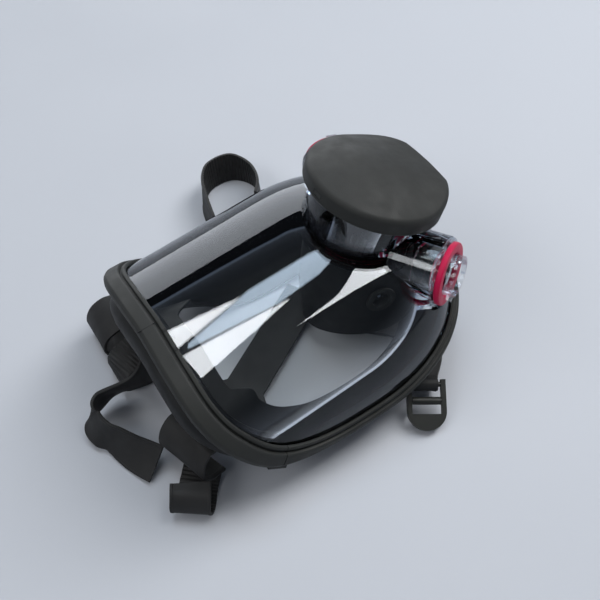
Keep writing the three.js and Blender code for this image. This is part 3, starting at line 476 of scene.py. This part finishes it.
for side, share in (("left", SEAM), ("right", -SEAM)):
    frame_box(f"{side} side clip", share, (2.6, 12, 7), (1.3, 0, -1), frame_grey, f"side_clip_{side}",
              5)
tab_clear = clear("tab clear", (0.75, 0.78, 0.80), (0.45, 0.48, 0.5), rough=0.12, haze=0.25)
frame_box("right seam tab", -0.2, (1.6, 13, 8), (0.8, 0, -2), tab_clear, "seam_tab_right")

# A dark moulding line across the middle of the brow, with two catches in the lip beside it.
catch_black = finish("catch black", (0.003, 0.003, 0.003), (0.008, 0.008, 0.009), (0.35, 0.5), relief=0.05)
frame_box("brow line", 0.0, (11, 0.6, 0.7), (-6.2, 0, 6.15), catch_black, None)
frame_box("brow hook", 0.0015, (0.8, 3, 0.8), (-11.2, 1.2, 3.3), catch_black, None)
for number, share in enumerate((-0.01, -0.031)):
    frame_box(f"brow catch {number}", share, (2.0, 2.4, 1.2), (-13.7, 0, 4.3), catch_black, None)

# ---- Face seal --------------------------------------------------------------------------
# Black moulded rubber: a bead held in the frame, a wall behind it and a soft flange that
# folds in against the face.
seal_black = finish("seal black", (0.006, 0.0065, 0.007), (0.014, 0.015, 0.016), (0.54, 0.68),
                    grain=1500, relief=0.06, edge=0.05)
SEAL_CORNER = 9
back, bead = -BAND_BACK - GAP, -WALL - GAP
BEAD = [(-2, bead - 1), (0.5, bead), (EDGE, bead), (EDGE, bead - 3), (1.85, bead - 3)]
SEAL_SIDE = BEAD + [
    (1.85, back - 0.2), (10, back - 0.5), (16, back), (26, back - 2), (33, back - 8), (34, back - 14),
    (33, -36), (31.5, -36), (31, back - 14), (30, back - 10), (24.5, back - 5), (15, back - 3),
    (0, back - 3), (-2.5, back + 1)]
SEAL_BROW = BEAD + [
    (1.85, back - 0.2), (13, back - 0.5), (17, back - 2), (19, back - 6), (20, back - 14), (15, back - 22),
    (-14, -39), (-14, -37.5), (12, back - 20.5), (17, back - 13), (16, back - 7), (13, back - 3.5),
    (0, back - 3), (-2.5, back + 1)]


def seal_rows(stations):
    rows = []
    for i in range(len(stations.share)):
        s = mix(np.array(SEAL_SIDE, float), np.array(SEAL_BROW, float), stations.brow[i])
        s = np.array(rounded(s, 2.2, 4))
        out, up = np.outer(s[:, 0], stations.out[i]), np.outer(s[:, 1], stations.up[i])
        rows.append(stations.place[i] + out + up)
    return rows


rows = seal_rows(rim)
seal = build("face seal", on_bench(np.concatenate(rows)), quads(len(rows), len(rows[0]), True), seal_black,
             "mask", ["face_seal"], 60)


def seal_corner(share):
    at = Rim(np.array([share]))
    corners = [np.array(outline[SEAL_CORNER], float) for outline in (SEAL_SIDE, SEAL_BROW)]
    s = mix(*corners, at.brow[0])
    return on_bench(at.at([s[0]], [s[1]]))[0] / MM


# ---- Front unit ------------------------------------------------------------------------
# A glossy black housing screwed into the visor's neck, with the speech plate and the spoked
# seat of the exhalation valve in its floor, and a red ring under the cap.
housing_black = finish("housing black", (0.004, 0.004, 0.005), (0.010, 0.010, 0.011), (0.16, 0.30),
                       relief=0.04)
red_silicone = finish("red silicone", (0.36, 0.0, 0.035), (0.50, 0.002, 0.060), (0.38, 0.55),
                      grain=1100, relief=0.2)
pale_silicone = finish("pale silicone", (0.16, 0.21, 0.28), (0.30, 0.37, 0.46), (0.25, 0.4), relief=0.1)
plate_steel = finish("plate steel", (0.45, 0.46, 0.47), (0.62, 0.63, 0.64), (0.22, 0.38),
                     metal=1.0, relief=0.1)
HOUSING_RADIUS = NECK_RADIUS - NECK_WALL - GAP
FLANGE_TOP = NECK_HEIGHT + GAP + 2
FLOOR_LOW, FLOOR_HIGH = -9, -6
SPIGOT, SPIGOT_FOOT = 27, -20
FOOT_OF_HOUSING, TOP_OF_NUT = -17.5, -13.5
SPEECH_OFFSET, SPEECH_BORE = 14, 11
VALVE_OFFSET, VALVE_BORE = -13, 12


def finned(r, z, angles):
    fin = 0.45 * step(np.cos(angles * 60), 0.1, 0.5)
    inside = abs(r - HOUSING_RADIUS) < 0.01 and -15 < z < NECK_HEIGHT - 1
    return np.full(len(angles), float(r)) - (fin if inside else 0)


profile = [
    (SPIGOT - 2.5, SPIGOT_FOOT),
    (SPIGOT, SPIGOT_FOOT),
    (SPIGOT, FLOOR_LOW),
    (HOUSING_RADIUS - 2.2, FLOOR_LOW),
    (HOUSING_RADIUS - 2.2, FOOT_OF_HOUSING),
    *((HOUSING_RADIUS, z) for z in (FOOT_OF_HOUSING, -14, -8, -2, 4, 10, 11.5, NECK_HEIGHT + GAP)),
    (NECK_RADIUS, NECK_HEIGHT + GAP),
    (NECK_RADIUS, FLANGE_TOP),
    (HOUSING_RADIUS - 2.8, FLANGE_TOP),
    (HOUSING_RADIUS - 2.8, FLOOR_HIGH),
    (SPIGOT - 2.5, FLOOR_HIGH)]
points, faces = lathe(profile, 360, finned)
housing = build("front housing", on_seat(points, FRONT_PLACE, FRONT_AXIS), faces, housing_black)
carve(housing, drum(26, FLOOR_LOW, FLOOR_HIGH, FRONT_PLACE, FRONT_AXIS), "UNION")
turned = turn_to(FRONT_AXIS)
SPEECH = FRONT_PLACE + turned @ [0, SPEECH_OFFSET, 0]
VALVE = FRONT_PLACE + turned @ [0, VALVE_OFFSET, 0]
carve(housing, drum(SPEECH_BORE, -20, 20, SPEECH, FRONT_AXIS), "DIFFERENCE")
carve(housing, drum(VALVE_BORE, -20, 20, VALVE, FRONT_AXIS), "DIFFERENCE")
surface(housing, housing_black)
dress(housing)
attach(housing, "mask")
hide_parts("front_housing")


def ring(name, section, place, axis, material, node, body="mask", radius=0.5, segments=96,
         closed=True):
    points, faces = lathe(rounded(section, radius, 3, closed), segments)
    obj = build(name, on_seat(points, place, axis), faces, material, body, [node])
    return obj


def square(outer, inner, low, high):
    return [(inner, low), (outer, low), (outer, high), (inner, high)]


nut_outline = square(HOUSING_RADIUS + 4, HOUSING_RADIUS + GAP, FOOT_OF_HOUSING, TOP_OF_NUT)
ring("housing nut", nut_outline, FRONT_PLACE, FRONT_AXIS, housing_black, "housing_nut")
gasket_low = FLANGE_TOP + GAP
gasket_outline = square(NECK_RADIUS + 0.6, HOUSING_RADIUS - 2.4, gasket_low, gasket_low + 1.4)
ring("collar gasket", gasket_outline, FRONT_PLACE, FRONT_AXIS, red_silicone, "collar_gasket")
plate_outline = [(0, -5.65), (12.6, -5.65), (12.6, -5.25), (10, -5.25), (8, -5.0), (6, -5.25), (4, -5.0),
                 (0, -5.25)]
ring("speech plate", plate_outline, SPEECH, FRONT_AXIS, plate_steel, "speech_diaphragm",
     closed=False, radius=0.1)
ring("speech plate ring", square(12.8, 9.5, -4.9, -2.65), SPEECH, FRONT_AXIS, frame_grey,
     "diaphragm_ring")


def spoked(name, outer, inner, low, high, flange, flange_low, place, axis, node):
    points, faces = lathe(rounded([(inner, low), (outer, low), (outer, flange_low), (flange, flange_low),
                                   (flange, high), (inner, high)], 0.4, 3), 96)
    hub, hub_faces = lathe(rounded(square(3, 1.55, low, low + 2), 0.25, 2), 32)
    faces = faces + moved(hub_faces, len(points))
    parts, count = [points, hub], len(points) + len(hub)
    for i in range(3):
        parts.append(block(i * 2 * math.pi / 3, (2.6, inner + 0.3), 0.9, low, low + 2))
        faces += moved(BLOCK_FACES, count)
        count += 8
    obj = build(name, on_seat(np.concatenate(parts), place, axis), faces, frame_grey, "mask", [node])


def mushroom(name, radius, face, stem, side, place, axis, material, node):
    at = [(0, stem), (1.1, stem), (1.1, face), (radius - 1, face), (radius, face + side * 0.2),
          (radius, face + side * 0.7), (radius * 0.5, face + side * 1.2), (0, face + side * 1.4)]
    ring(name, at, place, axis, material, node, node, 0.3, 64, closed=False)


spoked("exhalation valve seat", 11.65, 9.6, FLOOR_LOW, -4.25, 13.4, -5.65, VALVE, FRONT_AXIS,
       "exhalation_valve_seat")
mushroom("exhalation valve", 11.6, -3.9, -9.6, 1, VALVE, FRONT_AXIS, pale_silicone, "exhalation_valve_disc")

# ---- Cap --------------------------------------------------------------------------------
# Matt olive-grey hood over the front unit: a low dome whose skirt opens at the chin side
# between two raised corners. A small latch tongue sits in the skirt on the forehead side.
CAP_RADIUS, SKIRT, DOME, CAP_WALL, HORN = 41.5, 9, 8.5, 2.2, 5
FOOT = FLANGE_TOP + GAP + 0.6
cap_angles = np.arange(288) * 2 * math.pi / 288
chinward = np.abs(((np.degrees(cap_angles) + 90 + 540) % 360) - 180)
rise = HORN * (1 - step(chinward, 28, 80))
MOUTH = 27
across_mouth = math.cos(math.radians(MOUTH)) / np.cos(np.radians(np.minimum(chinward, MOUTH)))
chord = mix(1.0, np.where(chinward < MOUTH, across_mouth, 1.0), 0.8)
foot = FOOT + (1 - np.clip((chinward - MOUTH) / 25, 0, 1)) * (SKIRT + rise - 3.6)


def cap_height(share):
    return FOOT + SKIRT + DOME * (1 - share * share) + rise * share ** 3


def cap_row(share, height):
    r = CAP_RADIUS * share * mix(1.0, chord, share ** 4)
    return np.stack([r * np.cos(cap_angles), r * np.sin(cap_angles), height], 1)


rows = []
for share in np.linspace(0.02, 0.94, 24):
    rows.append(cap_row(share, cap_height(share)))
for k in range(1, 9):
    u = math.sin(k / 8 * math.pi / 2)
    share = 0.94 + 0.06 * u
    rows.append(cap_row(share, cap_height(share) - 2.6 * (1 - math.sqrt(max(0, 1 - u * u)))))
for t in (0.3, 0.6, 0.9):
    rows.append(cap_row(1.0, mix(cap_height(1.0) - 2.6, foot + 0.5, t)))
rows += [cap_row(1.0, foot + 0.4), cap_row(0.993, foot), cap_row(0.955, foot), cap_row(0.947, foot + 0.4)]
rows.append(cap_row(0.947, np.maximum(cap_height(0.947) - CAP_WALL - 1.4, foot + 0.6)))
for share in (0.9, 0.8, 0.65, 0.45, 0.25, 0.02):
    rows.append(cap_row(share, cap_height(share) - CAP_WALL))
n = len(cap_angles)
faces = quads(len(rows), n, False) + [tuple(range(n)), tuple(range((len(rows) - 1) * n, len(rows) * n))]
cap = build("front cap", on_seat(np.concatenate(rows), FRONT_PLACE, FRONT_AXIS), faces, frame_grey)
slot_box = bmesh.new()
for v in bmesh.ops.create_cube(slot_box, size=1)["verts"]:
    local = np.array(v.co) * [7, 8.4, 3.4] + [0, CAP_RADIUS, FOOT + 3.4]
    v.co = Vector(on_seat(local[None], FRONT_PLACE, FRONT_AXIS)[0])
tool_mesh = bpy.data.meshes.new("slot")
slot_box.to_mesh(tool_mesh)
slot_box.free()
tool = bpy.data.objects.new("slot", tool_mesh)
bpy.context.scene.collection.objects.link(tool)
carve(cap, tool, "DIFFERENCE")
surface(cap, frame_grey)
dress(cap, 32)
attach(cap, "front_cap")
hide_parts("front_cap")

latch = frame["nodes"]["cap_latch"]
surface(latch, frame_grey)
soft = latch.modifiers.new("soft edges", "BEVEL")
soft.width, soft.segments = 0.0004, 3

# ---- Filter ports --------------------------------------------------------------------------
# On each cheek a clear bayonet tube with three lugs, a red sealing ring round it, and a red
# flap valve that opens inwards under the spokes of its seat.
port_clear = clear("port clear", (0.975, 0.98, 0.985), (0.86, 0.88, 0.90),
                   rough=0.05, haze=0.015, strength=0.5)
LUG_TURN = 0.5
flange = PORT_HEIGHT + GAP
ring_low = flange + 1.5 + GAP
tube_top = ring_low + 3.6 + 5
for side, (place, axis) in zip(("left", "right"), PORTS):
    inner = PORT_BORE - GAP - 2
    points, faces = lathe(rounded([
        (inner, -5), (inner + 2, -5), (inner + 2, flange), (PORT_RADIUS - 0.4, flange),
        (PORT_RADIUS - 0.4, flange + 1.5), (12.2, flange + 1.5), (12.2, tube_top), (10.2, tube_top),
        (10.2, 6.5), (inner, 6.5)], 0.4, 3), 96)
    hub, hub_faces = lathe(rounded([(1.6, 6.6), (3.1, 6.6), (3.1, 8.4), (1.6, 8.4)], 0.3, 2), 48)
    faces += moved(hub_faces, len(points))
    parts, count = [points, hub], len(points) + len(hub)
    for i in range(3):
        turn = i * 2 * math.pi / 3
        lug = block(turn + LUG_TURN, (11.8, 14.6), 3.25, tube_top - 2.9, tube_top - 0.7)
        spoke = block(turn, (2.6, 10.4), 0.8, 6.7, 8.3)
        for piece in (lug, spoke):
            parts.append(piece)
            faces += moved(BLOCK_FACES, count)
            count += 8
    body = build(f"{side} port body", on_seat(np.concatenate(parts), place, axis), faces, port_clear, "mask",
                 [f"port_body_{side}"])
    ring(f"{side} port gasket", square(18.6, 12.8, ring_low, ring_low + 3.6), place, axis, red_silicone,
         f"port_gasket_{side}", radius=0.9)
    mushroom(f"{side} inhalation valve", 12.2, 6.15, 9.5, -1, place, axis, red_silicone,
             f"inhalation_valve_disc_{side}")

# ---- Nose cup -------------------------------------------------------------------------------
# Soft black rubber half mask stretched over the housing's spigot, with a pale check valve at
# each side of the nose.
spigot = SPIGOT + GAP
CUP_WALL, CUP_HALF, CUP_EDGE = 2, 36, -41
CUP_NOSE, CUP_CHIN, COLLAR_DEPTH = 4, -72, 8.5


def seat_points(x, y, z):
    return np.stack([x, y, np.full_like(x, z)], -1) @ turned.T + FRONT_PLACE


def cup_point(angle, drop, inset):
    r = spigot + CUP_WALL - inset
    collar = seat_points(r * np.cos(angle), r * np.sin(angle), FLOOR_LOW - GAP - COLLAR_DEPTH)
    centre = (CUP_NOSE + CUP_CHIN) / 2 - 6
    reach = np.where(np.sin(angle) > 0, CUP_NOSE - centre, centre - CUP_CHIN)
    nose = np.where(np.sin(angle) > 0, 1 - 0.25 * np.sin(angle) ** 2, 1)
    edge = np.stack([(CUP_HALF - inset) * np.cos(angle) * nose, centre + (reach - inset) * np.sin(angle),
                     np.full_like(angle, CUP_EDGE)], -1)
    spread = math.sin(drop * math.pi / 2) ** 0.8
    flat = mix(collar[..., :2], edge[..., :2], spread)
    return np.concatenate([flat, mix(collar[..., 2:], edge[..., 2:], drop)], -1)


angles = np.arange(120) * 2 * math.pi / 120
drops = np.linspace(0, 1, 22)
outer = spigot + CUP_WALL
rows = [seat_points(outer * np.cos(angles), outer * np.sin(angles), FLOOR_LOW - GAP)]
rows += [cup_point(angles, d, 0) for d in drops]
rows += [cup_point(angles, d, CUP_WALL) for d in drops[::-1]]
rows.append(seat_points(spigot * np.cos(angles), spigot * np.sin(angles), FLOOR_LOW - GAP))
cup = build("nose cup", on_bench(np.concatenate(rows)), quads(len(rows), len(angles), True), seal_black)
for side, angle in (("left", math.radians(12)), ("right", math.pi - math.radians(12))):
    a = np.array([angle - 0.01, angle, angle + 0.01])
    place = cup_point(a, 0.42, 0)[1]
    around = cup_point(a, 0.42, 0)[2] - cup_point(a, 0.42, 0)[0]
    down = cup_point(a, 0.43, 0)[1] - cup_point(a, 0.41, 0)[1]
    axis = unit(np.cross(down, around))
    carve(cup, drum(7.5, -12, 12, place, axis, 64), "DIFFERENCE")
    spoked(f"{side} cup valve seat", 7.15, 5.3, -3.4, 2.6, 9.1, 1.2, place, axis, f"cup_valve_seat_{side}")
    mushroom(f"{side} cup valve", 7.1, -3.75, -0.8, -1, place, axis, pale_silicone, f"cup_valve_disc_{side}")
surface(cup, seal_black)
dress(cup, 50)
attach(cup, "mask")
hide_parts("nose_cup")


# ---- Harness -----------------------------------------------------------------------------------
# Dark grey moulded rubber straps, 2 mm thick and about 25 mm wide with ribs on one side, and wide
# lugs at the temples. They lie curled under the mask as they fell.
def strap_finish(name, ribs):
    mat = finish(name, (0.011, 0.011, 0.0115), (0.022, 0.022, 0.022), (0.52, 0.70),
                 grain=800, relief=0.3, edge=0.08)
    if ribs:
        nt = mat.node_tree
        along = nt.nodes.new("ShaderNodeUVMap")
        wave = nt.nodes.new("ShaderNodeTexWave")
        wave.inputs["Scale"].default_value = 130
        nt.links.new(along.outputs["UV"], wave.inputs["Vector"])
        bump = nt.nodes.new("ShaderNodeBump")
        bump.inputs["Strength"].default_value = 0.8
        bump.inputs["Distance"].default_value = 0.0006
        fine = next(n for n in nt.nodes if n.type == "BUMP" and n != bump)
        nt.links.new(wave.outputs["Fac"], bump.inputs["Height"])
        nt.links.new(fine.outputs["Normal"], bump.inputs["Normal"])
        nt.links.new(bump.outputs["Normal"], nt.nodes["Principled BSDF"].inputs["Normal"])
    return mat


strap_smooth = strap_finish("strap rubber", False)
strap_ribbed = strap_finish("strap rubber ribbed", True)


def spline(points, t):
    pts = np.asarray(points, float)
    pts = np.concatenate([[2 * pts[0] - pts[1]], pts, [2 * pts[-1] - pts[-2]]])
    n = len(pts) - 3
    at = np.clip(np.asarray(t) * n, 0, n - 1e-9)
    i = at.astype(int)
    w = (at - i)[:, None]
    p = [pts[i + k] for k in range(4)]
    key = [q[:, :3] for q in p]
    d = [np.maximum(np.sum((key[k + 1] - key[k]) ** 2, -1, keepdims=True) ** 0.25, 1e-6) for k in range(3)]
    return bend(p, d, w)


def strap(name, share, width, route, node, inner=-1, thick=2.0, steps=120):
    name = name.replace(" ", "-")
    start = seal_corner(share)
    route = np.array([np.append(start + r[:3], r[3:]) for r in np.array(route, float)])
    line = spline(route, np.linspace(0, 1, steps + 1))
    along = np.gradient(line[:, :3], axis=0)
    along /= np.linalg.norm(along, axis=1, keepdims=True)
    across = line[:, 3:] - along * np.sum(line[:, 3:] * along, 1, keepdims=True)
    across /= np.linalg.norm(across, axis=1, keepdims=True)
    face = np.cross(along, across)
    w, h = width / 2, thick / 2
    section = np.array(rounded([
        (w, h), (w * 0.86, h), (w * 0.84, h - 0.25), (-w * 0.84, h - 0.25), (-w * 0.86, h), (-w, h),
        (-w, -h), (w, -h)], 0.5, 2))
    rows = [line[i, :3] + np.outer(section[:, 0], across[i]) + np.outer(section[:, 1], face[i])
            for i in range(steps + 1)]
    n = len(section)
    faces = quads(len(rows), n, False) + [tuple(range(n)), tuple(range(steps * n, (steps + 1) * n))]
    mesh = bpy.data.meshes.new(name)
    mesh.from_pydata([tuple(p) for p in np.concatenate(rows) * MM], [], faces)
    length = np.concatenate([[0], np.cumsum(np.linalg.norm(np.diff(line[:, :3], axis=0), axis=1))]) * MM
    uv = mesh.uv_layers.new(name="UVMap")
    for poly in mesh.polygons:
        for li in poly.loop_indices:
            v = mesh.loops[li].vertex_index
            uv.data[li].uv = (length[v // n], section[v % n][0] * MM)
    obj = bpy.data.objects.new(name, mesh)
    bpy.context.scene.collection.objects.link(obj)
    mesh.materials.append(strap_smooth)
    mesh.materials.append(strap_ribbed)
    for poly in mesh.polygons:
        on_face = np.mean([section[v % n][1] for v in poly.vertices])
        poly.material_index = 1 if inner * on_face > h * 0.6 else 0
    bm = bmesh.new()
    bm.from_mesh(mesh)
    bmesh.ops.recalc_face_normals(bm, faces=bm.faces)
    bm.to_mesh(mesh)
    bm.free()
    dress(obj, 50)
    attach(obj, "mask")
    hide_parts(node)
    return obj


strap("temple lug left", 0.1417, 28, [
    (5.9, 6, -1.8, 1, 0.1, 0), (6.9, 16.5, -1.8, 1, 0.1, 0), (7.9, 25.5, -7.8, 1, 0, 0),
    (7.7, 28.5, -17.8, 1, 0, 0), (4.7, 21.5, -26.8, 1, 0, 0), (1.7, 12.5, -27.8, 1, 0, 0)],
      "temple_lug_left", 0)
strap("temple strap left", 0.1417, 23, [
    (-17.8, 4, -13.8, 1, 0, 0), (-20.8, 18, -10.8, 1, 0, 0), (-23.8, 28, -13.8, 1, 0, 0),
    (-24.8, 30, -20.8, 1, 0, 0), (-23.8, 22, -26.8, 1, 0, 0), (-25.8, -2, -27.8, 1, 0, 0),
    (-31.8, -20, -27.8, 1, 0.2, 0)], "temple_strap_left", -1)
strap("forehead strap", 0.1417, 23, [
    (-15.9, -0.2, -3.6, 0.2, 0.5, 1), (-33.1, 6, -1.8, 0, 0.6, 1), (-45.1, 22, -2.8, -0.2, 0.4, 1),
    (-39.1, 44, -10.8, -0.3, 0.4, 1), (-46.1, 56, -14.2, 0, -0.5, 1), (-57.1, 56, -15.2, 0, -0.5, 1),
    (-64.9, 51, -17.2, -0.5, -0.7, 0.8), (-77.6, 44.7, -20.1, -0.5, -0.8, 0.5),
    (-91.1, 36.7, -20.6, -0.5, -0.8, 0.3)], "forehead_strap", 0)
strap("temple lug right", -0.125, 35, [
    (17.8, 2.7, -0.3, 1, 0.3, 0), (16.8, 9.8, -1.3, 1, 0.3, 0), (14.6, 15.5, -6.3, 1, 0.3, 0),
    (12.6, 17.5, -14.3, 1, 0.3, 0), (13.6, 12.5, -22.3, 1, 0.3, 0), (16.6, 3.5, -26.3, 1, 0.3, 0)],
      "temple_lug_right", 0)
strap("temple strap right", -0.125, 23, [
    (13, 6.1, -33.1, 0.6, 0.8, 0), (3, 15.1, -35.1, 0.6, 0.8, 0), (-8, 23.1, -33.1, 0.6, 0.8, 0),
    (-12, 27.1, -25.1, 0.6, 0.8, 0), (-8, 24.1, -17.1, 0.6, 0.8, 0), (-1, 20.1, -16.1, 0.6, 0.8, 0)],
      "temple_strap_right", -1)
strap("cheek strap left", 0.3333, 25, [
    (49.2, 10.8, 4.8, 0, 0.1, 1), (63.2, 0.8, 3.8, 0, 0.1, 1), (81.2, -2.2, 2.8, 0, 0.1, 1),
    (95.2, 6.8, 2.8, 0.1, 0, 1), (95.2, 24.8, 2.8, 0.1, 0, 1), (83.2, 36.8, 2.8, 0.1, -0.1, 1),
    (67.2, 42.8, 2.8, 0, -0.1, 1), (47.2, 46.8, 2.8, 0, 0, 1)], "cheek_strap_left", -1)
strap("cheek strap right", -0.3333, 19, [
    (-14.7, 2.8, -4.1, 0.5, 0.8, 0), (-6.7, -5.2, -5.1, 0.5, 0.8, 0), (7.3, -19.2, -7.1, 0.5, 0.8, 0),
    (29.3, -17.2, -8.1, 0.3, 1, 0), (47.3, -1.2, -8.1, -0.6, 0.8, 0)], "cheek_strap_right", -1)

# Crown pad: the flared junction of the straps that sits on the back of the head.
pad = frame["nodes"]["crown_pad"]
surface(pad, strap_smooth)
soft = pad.modifiers.new("soft edges", "BEVEL")
soft.width, soft.segments, soft.limit_method = 0.0009, 4, "ANGLE"

# ---- Cheek buckles ---------------------------------------------------------------------------
# Grey moulded buckles: a rounded plate with a roller for the strap and a bar held in the eye
# of a rubber anchor on the seal.
buckle_grey = finish("buckle grey", (0.010, 0.011, 0.010), (0.020, 0.021, 0.019), (0.32, 0.48),
                     relief=0.15, edge=0.08)
for side in ("left", "right"):
    for part, material in (("buckle", buckle_grey), ("buckle_roller", buckle_grey),
                           ("buckle_anchor", seal_black)):
        piece = frame["nodes"][f"{part}_cheek_{side}"]
        surface(piece, material)
        dress(piece, 32)
        soft = piece.modifiers.new("soft edges", "BEVEL")
        soft.width, soft.segments, soft.limit_method = 0.0006, 4, "ANGLE"
        soft.angle_limit = math.radians(40)

# ---- Floor, light and camera ---------------------------------------------------------------------
# A plain pale sheet under a soft sky that is brighter low down, with lamp panels overhead and to
# the side that the window mirrors.
sheet = bpy.data.meshes.new("floor")
sheet.from_pydata([(-8, -8, 0), (8, -8, 0), (8, 8, 0), (-8, 8, 0)], [], [(0, 1, 2, 3)])
ground = bpy.data.objects.new("floor", sheet)
bpy.context.scene.collection.objects.link(ground)
paper = finish("pale paper", (0.455, 0.475, 0.515), (0.475, 0.495, 0.535), (0.6, 0.75),
               grain=500, relief=0.05, patch=3, edge=0.0)
sheet.materials.append(paper)

world = bpy.data.worlds.new("room")
bpy.context.scene.world = world
world.use_nodes = True
sky = world.node_tree
direction = sky.nodes.new("ShaderNodeTexCoord")
split = sky.nodes.new("ShaderNodeSeparateXYZ")
fade = sky.nodes.new("ShaderNodeValToRGB")
fade.color_ramp.elements[0].position = 0.0
fade.color_ramp.elements[0].color = (0.62, 0.68, 0.80, 1)
fade.color_ramp.elements[1].position = 0.55
fade.color_ramp.elements[1].color = (0.10, 0.115, 0.14, 1)
sky.links.new(direction.outputs["Generated"], split.inputs["Vector"])
sky.links.new(split.outputs["Z"], fade.inputs["Fac"])
sky.links.new(fade.outputs["Color"], sky.nodes["Background"].inputs["Color"])
sky.nodes["Background"].inputs["Strength"].default_value = 0.6


# A flat lamp panel: level at a height, or with a height for each corner.
def panel(name, corners, height, glow, colour=(1, 1, 1), lights=True):
    mesh = bpy.data.meshes.new(name)
    points = [(*c[:2], c[2] if len(c) > 2 else height) for c in corners]
    mesh.from_pydata(points, [], [tuple(range(len(corners)))])
    mat = bpy.data.materials.new(name)
    mat.use_nodes = True
    nt = mat.node_tree
    nt.nodes.remove(nt.nodes["Principled BSDF"])
    shine = nt.nodes.new("ShaderNodeEmission")
    shine.inputs["Color"].default_value = (*colour, 1)
    shine.inputs["Strength"].default_value = glow
    nt.links.new(shine.outputs["Emission"], nt.nodes["Material Output"].inputs["Surface"])
    mesh.materials.append(mat)
    obj = bpy.data.objects.new(name, mesh)
    bpy.context.scene.collection.objects.link(obj)
    obj.visible_diffuse = lights
    obj.visible_camera = False


CEILING = 1.6
panel("panel-a", [(0.86, 0.19), (0.43, 0.20), (0.66, -0.01)], CEILING, 10)
panel("panel-b", [(0.40, 0.17), (0.31, 0.18), (0.12, -0.06), (0.44, -0.56), (0.63, -0.52), (0.69, -0.04)],
      CEILING, 6, (0.72, 0.86, 1.0))
panel("panel-c", [(0.25, 0.20), (-0.36, 0.19), (0.08, -0.09)], CEILING, 10)
panel("panel-d", [(-0.52, -0.08), (0.16, -0.75), (0.75, -2.6), (-0.25, -2.4), (-0.47, -1.30)], CEILING, 9)
panel("panel-f", [(2.5, -2.4, 0.0), (2.9, 0.9, 0.0), (2.9, 0.9, 2.1), (2.5, -2.4, 2.1)], 0, 3.4,
      (0.93, 0.96, 1.0), False)
panel("panel-e", [(-1.2, 1.2), (1.2, 1.2), (1.2, 2.4), (-1.2, 2.4)], 1.9, 3.6)

right = Vector((-0.546, -0.838, 0)).normalized()
back = Vector((-0.519, 0.338, 0.786)).normalized()
up = back.cross(right).normalized()
camera = bpy.data.cameras.new("camera")
camera.lens, camera.sensor_width = 49.2, 36
camera.shift_x, camera.shift_y = -0.0077, -0.030
eye = bpy.data.objects.new("camera", camera)
spot = Vector((-0.2550, 0.1659, 0.4462)) + Vector(OFFSET) - Vector((0, 0, 0.06))
eye.matrix_world = Matrix((
    (right.x, up.x, back.x, spot.x),
    (right.y, up.y, back.y, spot.y),
    (right.z, up.z, back.z, spot.z),
    (0, 0, 0, 1)))
bpy.context.scene.collection.objects.link(eye)
bpy.context.scene.camera = eye
bpy.context.scene.view_settings.view_transform = "Standard"
bpy.context.scene.view_settings.exposure = -0.02
